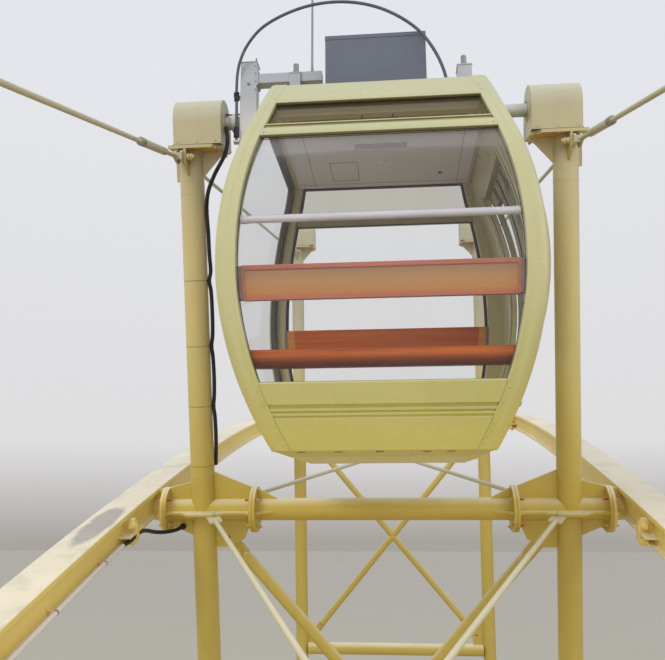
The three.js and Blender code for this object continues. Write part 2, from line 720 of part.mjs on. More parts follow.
function floorGeometry() {
  const pan = loft([PAN_Z, SHELL_BOTTOM - GAP], (z) => {
    const high = z > PAN_Z;
    return rectangle(high ? [-600, 600] : [-465, 465], high ? [-628, 628] : [-500, 500]);
  });
  return join([pan, box([-490, 490], [-530, 530], [SHELL_BOTTOM - 2, FLOOR_Z - 38]),
    box([-523, 523], [-568, 568], [FLOOR_Z - 40, FLOOR_Z])]);
}

// A seat board that spans from wall to wall, and between the hoops behind.
function benchGeometry(side) {
  const levels = shellLevels(...SEAT_Z);
  const rear = loft(levels, (z) => {
    const half = innerHalfWidth(z) - GAP;
    return rectangle([-half, half], [side * (SEAT_Y[1] - 2), side * SEAT_Y[2]]);
  });
  const front = loft(levels, (z) => {
    const left = halfWidth(z) - SIDE_INSET - SIDE_THICK - GAP;
    const right = halfWidth(z) + doorBulge(z) - DOOR_WALL_INSET - DOOR_WALL_THICK - GAP;
    return rectangle([-left, right], [side * SEAT_Y[0], side * SEAT_Y[1]]);
  });
  return join([rear, front]);
}

function backrestGeometry(side) {
  return loft(shellLevels(...BACK_Z), (z) => {
    const half = innerHalfWidth(z) - GAP;
    return rectangle([-half, half], [side * 868, side * 836]);
  });
}

function guardRailGeometry(side) {
  const half = innerHalfWidth(RAIL_Z + RAIL_RADIUS) - GAP;
  const y = side * 852;
  const ends = [-half, half].map((x) => new THREE.Vector3(x, y, RAIL_Z));
  return bar(...ends, RAIL_RADIUS, 10);
}

// Axle, the posts that carry the roof from it, the riser, its beam, clips and the rod.
function hangerGeometry() {
  const reach = HOUSING_X[0] + BORE_DEPTH - 10;
  const roof = SHELL_PLACE[2] + ROOF_TOP + GAP;
  const pieces = [
    bar(new THREE.Vector3(-reach, 0, 0), new THREE.Vector3(reach, 0, 0), AXLE_RADIUS, AXLE_SIDES),
    box([-926, -812], [-50, 50], [-175, 443]),
    box([-820, -354], [-40, 40], [279, 350]),
    box([-975, -920], [-34, 10], [182, 194]),
    box([-962, -920], [-78, -30], [-175, -163]),
    bar(new THREE.Vector3(-427, 0, 340), new THREE.Vector3(-427, 0, 1250), 8, 8),
  ];
  for (const [x, half, top] of [[-541, 37, 335], [626, 48, 332]]) {
    pieces.push(box([x - half, x + half], [-55, 55], [roof, top]));
    pieces.push(bar(new THREE.Vector3(x, 0, top - 5), new THREE.Vector3(x, 0, top + 98), 20, 12));
  }
  return join(pieces);
}

const cabin = new THREE.Group();
const shell = new THREE.Group();
shell.position.set(...SHELL_PLACE);
cabin.add(shell);
wheel.add(cabin);
for (const [sideY, end] of [[-1, 'front'], [1, 'back']]) {
  for (const [sideX, hand] of [[-1, 'left'], [1, 'right']]) {
    addMesh(shell, `${end}_hoop_${hand}`, hoopGeometry(sideX, sideY), LIME);
  }
  const bandLevels = shellLevels(BAND_BOTTOM, SHELL_TOP);
  addMesh(shell, `${end}_roof_band`, endSlab(sideY, bandLevels, 0, 40), LIME);
  const transom = endSlab(sideY, shellLevels(...TRANSOM_Z), 0, GLASS_INSET - GAP);
  addMesh(shell, `${end}_transom`, transom, LIME);
  addMesh(shell, `${end}_lower_panel`, lowerPanelGeometry(sideY), LIME);
  const paneLevels = shellLevels(SILL_Z + 1, BAND_BOTTOM - 1);
  const pane = endSlab(sideY, paneLevels, GLASS_INSET, GLASS_THICK);
  addMesh(shell, `${end}_window_pane`, pane, GLASS, 0.1);
  addMesh(shell, `${end}_bench`, benchGeometry(sideY), SEAT_ORANGE);
  addMesh(shell, `${end}_backrest`, backrestGeometry(sideY), TERRACOTTA);
  addMesh(shell, `${end}_guard_rail`, guardRailGeometry(sideY), RAIL_GREY, 0.3, 0.6);
}
addMesh(shell, 'roof', crossShape([642, 642, 548], [449, 509.7], [ROOF_TOP - 25, ROOF_TOP]), LIME);
addMesh(shell, 'ceiling', ceilingGeometry(), CEILING_GREY);
addMesh(shell, 'floor_pan', floorGeometry(), LIME);
addMesh(shell, 'left_wall', leftWallGeometry(), LIME);
addMesh(shell, 'left_window_pane', leftWindow(SIDE_INSET + 16, GLASS_THICK, GAP), GLASS, 0.1);
addMesh(shell, 'right_wall', rightWallGeometry(), LIME);
addMesh(shell, 'door_leaf_front', doorGeometry(-1), LIME);
addMesh(shell, 'door_leaf_back', doorGeometry(1), LIME);
addMesh(cabin, 'hanger_and_axle', hangerGeometry(), WHITE);
const unitBottom = SHELL_PLACE[2] + ROOF_TOP + GAP;
addMesh(cabin, 'cooling_unit', box([-306, 356], [-320, -56], [unitBottom, 428]), SLATE);
addMesh(cabin, 'roof_conduit', hose(ROOF_CONDUIT_ROUTE, ROOF_CONDUIT_RADIUS, 8, 40), BLACK);

export default root;
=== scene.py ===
"""A ferris wheel cabin in its post frame, with a bay of the wheel before and behind it."""
import bpy
import math
from mathutils import Matrix, Vector
from mathutils.geometry import tessellate_polygon


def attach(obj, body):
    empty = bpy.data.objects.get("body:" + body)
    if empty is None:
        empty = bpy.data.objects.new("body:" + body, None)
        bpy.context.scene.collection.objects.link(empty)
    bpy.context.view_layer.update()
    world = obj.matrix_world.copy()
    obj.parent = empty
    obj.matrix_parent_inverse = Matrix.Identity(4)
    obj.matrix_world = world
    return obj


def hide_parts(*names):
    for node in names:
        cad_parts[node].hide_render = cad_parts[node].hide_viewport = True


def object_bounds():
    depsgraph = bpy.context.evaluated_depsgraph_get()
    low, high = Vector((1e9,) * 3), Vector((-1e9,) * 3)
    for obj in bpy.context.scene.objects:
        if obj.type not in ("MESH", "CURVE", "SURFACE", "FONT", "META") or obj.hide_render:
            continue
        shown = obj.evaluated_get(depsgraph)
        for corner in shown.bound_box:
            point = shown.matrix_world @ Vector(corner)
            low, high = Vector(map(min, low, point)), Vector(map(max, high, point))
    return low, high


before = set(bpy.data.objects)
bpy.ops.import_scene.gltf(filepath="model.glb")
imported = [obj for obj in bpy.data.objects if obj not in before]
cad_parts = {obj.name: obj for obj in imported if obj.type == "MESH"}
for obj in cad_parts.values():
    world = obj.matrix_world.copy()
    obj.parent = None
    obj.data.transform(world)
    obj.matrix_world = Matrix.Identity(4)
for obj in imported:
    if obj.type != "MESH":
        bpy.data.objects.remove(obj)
CAD_BOX = [list(corner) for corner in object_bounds()]

# The same named sizes as the CAD source, in metres.
BAY_ANGLE = math.radians(7.01)
BAY_PITCH = 5.584
AXLE_CIRCLE = BAY_PITCH / (2 * math.sin(BAY_ANGLE / 2))
LEAN = math.radians(14.9)
POST_X = 1.287
POST_RADIUS = 0.084
CROSS_RADIUS = 0.0775
UPPER_U = -2.731
LOWER_U = -5.8
FOOT_U = -6.105
FLANGE_THICK = 0.022
RIM_X = (1.607, 1.842)
RIM_U = (-2.759, -2.575)
RIM_RECESS = 0.03
SPLICE_T = -0.62
SPLICE_HALF = 0.13
TIE_PIN_T = 0.15
TIE_X = 1.34
TIE_U = -0.245
PLAN_PLATE_U = -2.723
CONDUIT_X = -1.5927
CONDUIT_U = -2.724
BASE_TOP_U = -0.168
BASE_BOTTOM_U = -0.19

SHELL_TOP = -0.066
SHELL_BOTTOM = -2.327
BELLY_Z = -1.27
BELLY_WIDE = 0.892
SHOULDER_Z = -0.4
HOOP_BAND = 0.116
RAIL_Z = -1.064
DOOR_Z = (-2.075, -0.5)
DOOR_TOP_GLASS = -0.6
DOOR_LOW_GLASS = -1.7

AXLE = Vector((POST_X, FOOT_U * math.sin(LEAN), -FOOT_U * math.cos(LEAN)))
HUB = Vector((0, math.sin(LEAN), -math.cos(LEAN))) * AXLE_CIRCLE
CABIN_AT = Matrix.Translation(AXLE)
ROOF_UPPER = -0.0497
SHELL_SHIFT = Vector((0.04, 0, 0.025))
SHELL_AT = Matrix.Translation(AXLE + SHELL_SHIFT)


def frame_matrix(bay):
    lean = LEAN - bay * BAY_ANGLE
    outward = Vector((0, -math.sin(lean), math.cos(lean)))
    place = AXLE + HUB + outward * AXLE_CIRCLE
    return Matrix.Translation(place) @ Matrix.Rotation(lean, 4, "X")


def in_frame(bay, x, t, u):
    return frame_matrix(bay) @ Vector((x, t, u))


# Camera, fitted to the photo
CAMERA_TURN = (-4.978, 11.887, -0.2245)
CAMERA_FROM_AXLE = Vector((0.1322, -4.7198, -2.5225))
FOCAL_PX, PHOTO_WIDE_PX, SHIFT_PX = 746.311, 665, (-1.768, 5.124)
SENSOR_MM = 36


def make_camera():
    yaw, pitch, roll = (math.radians(a) for a in CAMERA_TURN)
    ahead = Vector((math.sin(yaw) * math.cos(pitch), math.cos(yaw) * math.cos(pitch), math.sin(pitch)))
    right = Vector((math.cos(yaw), -math.sin(yaw), 0))
    up = right.cross(ahead)
    turned_right = right * math.cos(roll) + up * math.sin(roll)
    turned_up = up * math.cos(roll) - right * math.sin(roll)
    data = bpy.data.cameras.new("view")
    data.sensor_width = SENSOR_MM
    data.lens = SENSOR_MM * FOCAL_PX / PHOTO_WIDE_PX
    data.shift_x, data.shift_y = (shift / PHOTO_WIDE_PX for shift in SHIFT_PX)
    data.clip_start = 0.05
    data.clip_end = 400
    camera = bpy.data.objects.new("view", data)
    bpy.context.collection.objects.link(camera)
    turn = Matrix((turned_right, turned_up, -ahead)).transposed().to_4x4()
    camera.matrix_world = Matrix.Translation(AXLE + CAMERA_FROM_AXLE) @ turn
    bpy.context.scene.camera = camera


make_camera()


# Materials
def srgb(r, g, b):
    def linear(v):
        v /= 255
        return v / 12.92 if v <= 0.04045 else ((v + 0.055) / 1.055) ** 2.4
    return (linear(r), linear(g), linear(b), 1)


class Paint:
    """A material's node tree, with short calls for the nodes that the finishes use."""

    def __init__(self, name):
        self.material = bpy.data.materials.new(name)
        self.material.use_nodes = True
        self.tree = self.material.node_tree
        self.shader = self.tree.nodes["Principled BSDF"]
        self.place = self.node("TexCoord").outputs["Object"]

    def feed(self, node, inputs):
        """Link the sources and set the values that a node's inputs are given."""
        for key, value in inputs.items():
            if isinstance(value, bpy.types.NodeSocket):
                self.tree.links.new(value, node.inputs[key])
            else:
                node.inputs[key].default_value = value

    def node(self, kind, inputs=None, **settings):
        made = self.tree.nodes.new("ShaderNode" + kind)
        for key, value in settings.items():
            setattr(made, key, value)
        self.feed(made, inputs or {})
        return made

    def surface(self, color, roughness, **more):
        names = {key.replace("_", " "): value for key, value in more.items()}
        self.feed(self.shader, {"Base Color": color, "Roughness": roughness, **names})

    def noise(self, scale, detail=4, stretch=(1, 1, 1), rough=0.55):
        place = self.node("Mapping", {"Scale": stretch, "Vector": self.place}).outputs["Vector"]
        return self.node("TexNoise", {"Scale": scale, "Detail": detail, "Roughness": rough,
                                      "Vector": place}).outputs["Fac"]

    def ramp(self, source, low, high, top=1.0, bottom=0.0):
        return self.node("MapRange", {"Value": source, "From Min": low, "From Max": high,
                                      "To Min": bottom, "To Max": top}).outputs["Result"]

    def math(self, operation, a, b, clamp=False):
        return self.node("Math", {0: a, 1: b}, operation=operation, use_clamp=clamp).outputs[0]

    def mix(self, share, first, second):
        return self.node("Mix", {"Factor": share, 6: first, 7: second}, data_type="RGBA").outputs[2]

    def height(self, source):
        return self.node("SeparateXYZ", {0: source}).outputs["Z"]

    def facing(self, low, high):
        """A share that grows as the surface turns up, or down where high is below low."""
        return self.ramp(self.height(self.node("NewGeometry").outputs["Normal"]), low, high)

    def by_height(self, stops):
        """A colour that changes with height, from (metres, colour) pairs."""
        low, high = stops[0][0], stops[-1][0]
        made = self.node("ValToRGB", {0: self.ramp(self.height(self.place), low, high)})
        elements = made.color_ramp.elements
        elements[0].color, elements[1].color = stops[0][1], stops[-1][1]
        for height, color in stops[1:-1]:
            elements.new((height - low) / (high - low)).color = color
        return made.outputs[0]

    def patch_at(self, place, radii):
        """A ragged spot round a place, 1 inside and 0 outside."""
        near = self.node("Mapping", {"Location": place, "Scale": radii, "Vector": self.place},
                         vector_type="TEXTURE")
        size = self.node("VectorMath", {0: near.outputs["Vector"]}, operation="LENGTH")
        ragged = self.math("ADD", size.outputs["Value"], self.noise(9, 7, (1, 0.6, 1), 0.7))
        return self.ramp(ragged, 1.62, 1.3, 0.75)

    def shade(self, source, value, saturation):
        """The same colour, darker or lighter and more or less strong."""
        return self.node("HueSaturation", {"Value": value, "Saturation": saturation,
                                           "Color": source}).outputs[0]

    def bump(self, source, strength, distance=0.002):
        made = self.node("Bump", {"Strength": strength, "Distance": distance, "Height": source})
        self.feed(self.shader, {"Normal": made.outputs["Normal"]})


GRIME, WORN_STEEL, RUST = srgb(172, 162, 146), srgb(150, 143, 140), srgb(120, 88, 50)


def weathered_with_painted_light(name, rough, side, up, down, streaks=0.2, dirt=0.35, spots=0.3,
              stretch=(9, 9, 0.55), grain=0.1, worn=None, metal=0.0):
    """Outdoor paint: one tone by height and facing, which is painted light and shade, then rain runs, grime
    on top faces and rust spots.

    side, up and down are the colours of faces that look that way: rows of (metres, r, g, b). They are
    painted light and shade: up faces paler as if lit by the sky, down faces darker as if in shade, and the
    change with height stands in for how the light falls there."""
    paint = Paint(name)
    side, up, down = (paint.by_height([(row[0], srgb(*row[1:])) for row in rows])
                      for rows in (side, up, down))
    # Painted light and shade: faces turned up take the paler up rows, faces turned down the darker down
    # rows.
    base = paint.mix(paint.facing(0.25, 0.95), side, up)
    base = paint.mix(paint.facing(-0.2, -0.9), base, down)
    fade = paint.ramp(paint.noise(1.1, 6), 0.36, 0.68, 0.5)
    base = paint.mix(fade, base, paint.shade(base, 0.8, 1.06))
    run = paint.ramp(paint.noise(1.5, 5, stretch), 0.54, 0.8, streaks)
    base = paint.mix(run, base, paint.shade(base, 0.62, 0.96))
    patch = paint.ramp(paint.noise(3.2, 8, (1, 1, 1), 0.7), 0.5, 0.68, dirt)
    base = paint.mix(paint.math("MULTIPLY", patch, paint.facing(0.35, 0.9)), base, GRIME)
    if worn:
        spot = paint.math("MULTIPLY", paint.patch_at(*worn), paint.facing(0.35, 0.9))
        base = paint.mix(spot, base, WORN_STEEL)
    base = paint.mix(paint.ramp(paint.noise(46, 3), 0.72, 0.78, spots), base, RUST)
    paint.surface(base, paint.ramp(paint.noise(7, 5), 0.3, 0.75, rough + 0.12, rough - 0.08),
                  Metallic=metal)
    if grain:
        paint.bump(paint.noise(70, 5), grain)
    return paint.material


def even(r, g, b):
    """Rows for one colour at every height."""
    return (3.0, r, g, b), (6.0, r, g, b)


WORN_PLACE = (in_frame(0, -1.722, -0.84, RIM_U[1]), (0.085, 0.4, 0.2))
# The side, up and down rows of these finishes are painted light, shade and sky reflection: tops paler,
# undersides darker, and the tone shifts with height as the light does. The rain runs, grime, wear and rust
# are the paint's own marks.
CREAM = weathered_with_painted_light("cream_paint", 0.46,
                  ((2.6, 191, 168, 79), (3.4, 200, 175, 84), (4.3, 205, 187, 120),
                   (5.0, 207, 189, 133), (5.9, 186, 179, 150)),
                  ((3.0, 236, 222, 180), (5.9, 200, 196, 176)), even(198, 163, 58))
RIM_CREAM = weathered_with_painted_light("rim_paint", 0.5, ((2.6, 232, 206, 112), (3.6, 236, 212, 130)),
                      ((2.6, 230, 217, 186), (3.6, 238, 226, 200)), even(220, 190, 92),
                      0.1, 0.4, 0.35, (3, 1.2, 3), 0.1, WORN_PLACE)
ROD_CREAM = weathered_with_painted_light("rod_paint", 0.5, ((2.6, 204, 193, 156), (5.9, 186, 181, 154)),
                      ((2.6, 214, 206, 178), (5.9, 204, 202, 184)),
                      ((3.0, 196, 178, 122), (6.0, 176, 162, 116)), 0.0, 0.0, 0.0, (1, 1, 1), 0.0)
# The lime's down rows are painted shade: pale yellow low on the belly, dark olive from 4.3 m up.
LIME = weathered_with_painted_light("lime_gelcoat", 0.33,
                 ((3.4, 195, 190, 116), (4.4, 193, 186, 135), (5.6, 188, 185, 144)),
                 ((3.4, 198, 192, 138), (5.9, 192, 188, 152)),
                 ((3.7, 228, 206, 92), (4.3, 150, 142, 92)), 0.14, 0.2, 0.08)
# The inner lime is painted light and shade: its sides paler higher up, its faces that look up or down
# darker.
LIME_INSIDE = weathered_with_painted_light("lime_inner", 0.42, ((3.4, 204, 192, 132), (5.6, 218, 211, 184)),
                        ((3.4, 190, 180, 126), (5.6, 182, 176, 134)), even(186, 172, 116),
                        0.12, 0.1, 0.05)
WHITE = weathered_with_painted_light("white_paint", 0.45,
                  ((5.86, 204, 202, 196), (6.08, 176, 178, 183), (6.3, 176, 178, 184)),
                  ((5.8, 214, 213, 208), (6.2, 184, 186, 190)), even(176, 172, 158),
                  0.16, 0.3, 0.15, (4, 4, 1.5))
SLATE = weathered_with_painted_light("slate_paint", 0.5, ((5.8, 96, 101, 112), (6.4, 98, 103, 115)),
                  ((5.8, 110, 113, 122), (6.4, 112, 115, 126)), even(96, 92, 84), 0.0, 0.15, 0.0)
CONDUIT_WHITE = weathered_with_painted_light("conduit_pvc", 0.4, ((2.6, 224, 214, 200), (3.6, 226, 216, 204)),
                          ((2.6, 228, 220, 210), (3.6, 230, 222, 212)), even(206, 190, 160),
                          0.1, 0.2, 0.05, (1, 1, 1), 0.0)
STEEL = weathered_with_painted_light("zinc_steel", 0.38, ((3.0, 150, 144, 130), (6.2, 150, 150, 150)),
                  ((3.0, 160, 156, 146), (6.2, 164, 165, 168)), even(140, 128, 96),
                  0.2, 0.2, 0.4, metal=0.5)

BOARD_GRAIN = (0.5, 9, 14)
# Painted shade on the bench: below 4.062 m the board takes its darker below colour, above 4.098 m its own,
# for the shade on its lower front.
BENCH_PAINTED_SHADE = [(4.062, (1, 1, 1, 1)), (4.098, (0, 0, 0, 1))]


def gloss_board(name, light, dark, rough, coat, below=None):
    """Lacquered board with a faint grain along its length. A below colour, where given, is painted shade on
    the board's lower part.
    """
    paint = Paint(name)
    grain = paint.noise(3.0, 8, BOARD_GRAIN, 0.65)
    base = paint.mix(paint.ramp(grain, 0.35, 0.7), srgb(*light), srgb(*dark))
    scuff = paint.ramp(paint.noise(11, 6, (1, 1, 1), 0.7), 0.6, 0.8, 0.2)
    base = paint.mix(scuff, base, srgb(206, 124, 62))
    # Painted shade: the board's lower part turns to the darker below colour.
    if below:
        base = paint.mix(paint.by_height(BENCH_PAINTED_SHADE), base, srgb(*below))
    paint.surface(base, paint.ramp(paint.noise(16, 4), 0.3, 0.8, rough + 0.1, rough),
                  Coat_Weight=coat, Coat_Roughness=0.08, Specular_IOR_Level=0.3)
    paint.bump(paint.noise(42, 4, (0.4, 2, 3)), 0.08)
    return paint.material


SEAT = gloss_board("seat_board", (204, 104, 26), (172, 78, 14), 0.42, 0.04)
# The bench's last colour is the painted shade on its lower part.
BENCH = gloss_board("bench_board", (194, 100, 26), (160, 72, 14), 0.42, 0.04, (112, 50, 22))
BACK_RIM = gloss_board("back_rim", (188, 116, 96), (172, 96, 76), 0.38, 0.1)
BACK_OCHRE = gloss_board("back_ochre", (214, 146, 66), (198, 126, 50), 0.35, 0.1)
PANEL_TONES = ((4.405, 186, 110, 64), (4.44, 188, 130, 74), (4.5, 180, 136, 88),
               (4.555, 164, 124, 92), (4.585, 148, 108, 88))


def panel_face():
    """The backrest's painted panel, from orange below through ochre to a darker top."""
    paint = Paint("back_face")
    base = paint.by_height([(row[0], srgb(*row[1:])) for row in PANEL_TONES])
    grain = paint.ramp(paint.noise(3.0, 8, BOARD_GRAIN, 0.65), 0.35, 0.7, 0.5)
    paint.surface(paint.mix(grain, base, paint.shade(base, 0.92, 1.05)),
                  paint.ramp(paint.noise(16, 4), 0.3, 0.8, 0.5, 0.4))
    return paint.material


BACK_FACE = panel_face()


def plain(name, first, second, rough, metal=0.0, scale=8.0, bump=0.1):
    """A quiet finish with small changes of tone."""
    paint = Paint(name)
    paint.surface(paint.mix(paint.ramp(paint.noise(scale, 6), 0.35, 0.7), srgb(*first), srgb(*second)),
                  paint.ramp(paint.noise(scale * 3, 4), 0.3, 0.75, rough + 0.1, rough - 0.05),
                  Metallic=metal)
    paint.bump(paint.noise(scale * 14, 3), bump, 0.001)
    return paint.material


CEILING = plain("ceiling_lining", (212, 214, 216), (204, 206, 207), 0.6, 0, 1.4)
RAIL = plain("rail_tube", (216, 213, 219), (208, 205, 211), 0.35, 0.1, 5.0, 0.02)
GREY = plain("grey_plastic", (134, 126, 124), (120, 112, 110), 0.5)
HOSE_GREY = plain("grey_hose", (88, 91, 97), (70, 73, 79), 0.42, 0, 24.0, 0.2)
BAND = plain("band_brown", (150, 132, 84), (134, 116, 72), 0.5, 0, 20.0, 0.1)
GASKET = plain("gasket_rubber", (66, 58, 60), (48, 43, 46), 0.55, 0, 20.0, 0.2)
BLACK = plain("black_sheath", (34, 34, 38), (22, 22, 25), 0.45, 0, 24.0, 0.25)
DARK = plain("dark_steel", (84, 84, 88), (62, 62, 66), 0.4, 0.5, 14.0)
RED = plain("red_mark", (196, 58, 34), (170, 48, 28), 0.5, 0, 40.0)
# The recess colour is painted shade: a darker brown for the floor of the ceiling strip's rounded well.
BROWN = plain("recess_painted_shade", (122, 108, 78), (108, 94, 68), 0.6, 0, 3.0)
LAMP = plain("lamp_lens", (232, 230, 220), (216, 214, 204), 0.25, 0, 30.0, 0.02)
SEAL = plain("seal_olive", (132, 128, 104), (116, 112, 92), 0.55, 0, 20.0, 0.1)
GLASS_INDEX = 1.45


def glass(name, tint, body, share):
    """Thin pane: mostly clear, with a faint film and stronger reflection at a slant."""
    paint = Paint(name)
    clear = paint.node("BsdfTransparent", {"Color": tint})
    film = paint.ramp(paint.noise(2.2, 5, (1, 1, 0.4)), 0.35, 0.75, share * 1.25, share * 0.8)
    slant = paint.node("Fresnel", {"IOR": GLASS_INDEX}).outputs[0]
    total = paint.math("ADD", film, paint.math("MULTIPLY", slant, 0.2), True)
    paint.surface(paint.mix(paint.noise(3.0, 4), body, tuple(c * 0.9 for c in body[:3]) + (1,)), 0.04)
    blend = paint.node("MixShader", {0: total, 1: clear.outputs[0], 2: paint.shader.outputs[0]})
    paint.feed(paint.tree.nodes["Material Output"], {"Surface": blend.outputs[0]})
    return paint.material


GLASS = glass("clear_pane", (0.985, 0.985, 0.982, 1), srgb(205, 205, 210), 0.02)
TINTED = glass("tinted_pane", (0.86, 0.84, 0.78, 1), srgb(150, 140, 116), 0.08)


# Mesh kit
BEVEL_FROM = math.radians(42)


class Kit:
    """Gathers closed shapes, in one frame, that become one object."""

    def __init__(self, at=Matrix.Identity(4), side=1):
        self.at = at
        self.side = side
        self.verts, self.faces, self.slots = [], [], []

    def add(self, verts, faces, slot=0):
        base = len(self.verts)
        if (volume(verts, faces) < 0) != (self.side < 0):
            faces = [list(reversed(face)) for face in faces]
        self.verts += [self.at @ Vector((v[0] * self.side, v[1], v[2])) for v in verts]
        self.faces += [[base + i for i in face] for face in faces]
        self.slots += [slot] * len(faces)

    def merge(self, other):
        base = len(self.verts)
        self.verts += other.verts
        self.faces += [[base + i for i in face] for face in other.faces]
        self.slots += other.slots

    def make(self, name, node, slot, materials, bevel=0.0, angle=38, body="cabin"):
        mesh = bpy.data.meshes.new(name)
        mesh.from_pydata(self.verts, [], self.faces)
        for material in materials:
            mesh.materials.append(material)
        mesh.polygons.foreach_set("material_index", self.slots)
        mesh.polygons.foreach_set("use_smooth", [True] * len(self.faces))
        mesh.update()
        mesh.set_sharp_from_angle(angle=math.radians(angle))
        made = bpy.data.objects.new(name, mesh)
        bpy.context.collection.objects.link(made)
        if bevel:
            edge = made.modifiers.new("edges", "BEVEL")
            edge.width = bevel
            edge.segments = 2
            edge.limit_method = "ANGLE"
            edge.angle_limit = BEVEL_FROM
            edge.harden_normals = True
            edge.use_clamp_overlap = True
        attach(made, body)
        if node:
            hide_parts(node)


def volume(verts, faces):
    origin = Vector(verts[0])
    total = 0
    for face in faces:
        points = [Vector(verts[i]) - origin for i in face]
        for b, c in zip(points[1:], points[2:]):
            total += points[0].dot(b.cross(c))
    return total


def skin(kit, rings, slot=0):
    """A closed solid over rings that hold the same number of points."""
    count = len(rings[0])
    faces = []
    for start in range(0, (len(rings) - 1) * count, count):
        for i in range(count):
            a, b = start + i, start + (i + 1) % count
            faces.append([a, b, b + count, a + count])
    last = (len(rings) - 1) * count
    faces.append(list(reversed(range(count))))
    faces.append([last + i for i in range(count)])
    kit.add([v for ring in rings for v in ring], faces, slot)


def across(axis):
    """Two unit vectors at right angles to the axis."""
    helper = Vector((0, 0, 1)) if abs(axis.z) < 0.9 else Vector((0, 1, 0))
    first = axis.cross(helper).normalized()
    return first, axis.cross(first).normalized()


def ring_at(centre, first, second, radius, sides):
    turns = [2 * math.pi * i / sides for i in range(sides)]
    return [centre + first * (radius * math.cos(a)) + second * (radius * math.sin(a)) for a in turns]


def turned(kit, start, axis, steps, sides=40, slot=0):
    """A turned shape: (distance along the axis, radius) pairs."""
    start, axis = Vector(start), Vector(axis).normalized()
    first, second = across(axis)
    skin(kit, [ring_at(start + axis * d, first, second, r, sides) for d, r in steps], slot)


def rod(kit, start, end, radius, sides=40, edge=0.0, slot=0):
    """A round bar with lightly rounded ends."""
    start, end = Vector(start), Vector(end)
    length = (end - start).length
    steps = [(0, radius), (length, radius)]
    if edge:
        soft = [(0, radius - edge), (edge * 0.3, radius - edge * 0.3), (edge, radius)]
        steps = soft + [(length - d, r) for d, r in reversed(soft)]
    turned(kit, start, end - start, steps, sides, slot)


def block(kit, x, y, z, slot=0):
    verts = [(a, b, c) for c in z for b in y for a in x]
    kit.add(verts, [[0, 2, 3, 1], [4, 5, 7, 6], [0, 1, 5, 4], [2, 6, 7, 3], [0, 4, 6, 2], [1, 3, 7, 5]],
            slot)


def area(loop):
    return sum(a[0] * b[1] - b[0] * a[1] for a, b in zip(loop, loop[1:] + loop[:1]))


def prism(kit, outline, place, thick, slot=0, holes=()):
    """An outline of (a, b) pairs, with holes, made thick: place(a, b, c) gives each point."""
    loops = [list(outline)] + [list(hole) for hole in holes]
    corners = [point for loop in loops for point in loop]
    count = len(corners)
    verts = [place(a, b, c) for c in (0, thick) for a, b in corners]
    caps = [list(range(count))]
    if holes:
        caps = tessellate_polygon([[Vector((a, b, 0)) for a, b in loop] for loop in loops])
    caps = [list(cap) if area([corners[i] for i in cap]) > 0 else list(reversed(cap)) for cap in caps]
    faces = []
    for cap in caps:
        faces += [list(reversed(cap)), [i + count for i in cap]]
    base = 0
    for number, loop in enumerate(loops):
        keep = (area(loop) > 0) == (number == 0)
        for i in range(len(loop)):
            a, b = base + i, base + (i + 1) % len(loop)
            wall = [a, b, b + count, a + count]
            faces.append(wall if keep else list(reversed(wall)))
        base += len(loop)
    kit.add(verts, faces, slot)


def flat(kit, outline, low, high, slot=0, holes=()):
    """A plate seen from above: an outline of (x, y) pairs between two heights."""
    prism(kit, outline, lambda a, b, c: (a, b, low + c), high - low, slot, holes)


def sideways(kit, outline, x, thick, slot=0, holes=()):
    """A plate seen from the side: an outline of (y, z) pairs, from x on."""
    prism(kit, outline, lambda a, b, c: (x + c, a, b), thick, slot, holes)


def upright(kit, outline, thick, y=0.0):
    """A plate in the x-z plane, centred on y."""
    prism(kit, outline, lambda a, b, c: (a, y + c - thick / 2, b), thick)


def rectangle(half_x, half_y):
    return [(-half_x, -half_y), (half_x, -half_y), (half_x, half_y), (-half_x, half_y)]


def circle(radius, sides=20, centre=(0, 0), turn=0):
    turns = [math.radians(360 * i / sides + turn) for i in range(sides)]
    return [(centre[0] + radius * math.cos(a), centre[1] + radius * math.sin(a)) for a in turns]


def bolt(kit, at, axis, size=0.012, slot=0, washer=True, shank=0.0):
    """A hexagon head on a washer. The axis points away from the surface."""
    at, axis = Vector(at), Vector(axis).normalized()
    if washer:
        steps = [(0, size * 1.15), (size * 0.16, size * 1.15), (size * 0.2, size * 1.08)]
        turned(kit, at, axis, steps, 14, slot)
    start = at + axis * (size * 0.2 if washer else 0)
    high = size * 0.62
    turned(kit, start, axis, [(0, size), (high * 0.8, size), (high, size * 0.84)], 6, slot)
    if shank:
        steps = [(0, size * 0.5), (high + shank, size * 0.5), (high + shank + 0.002, size * 0.42)]
        turned(kit, start, axis, steps, 10, slot)


def rivet(kit, at, axis, radius=0.006, slot=0):
    turned(kit, at, axis, [(0, radius), (radius * 0.35, radius * 0.85), (radius * 0.6, radius * 0.4)],
           10, slot)


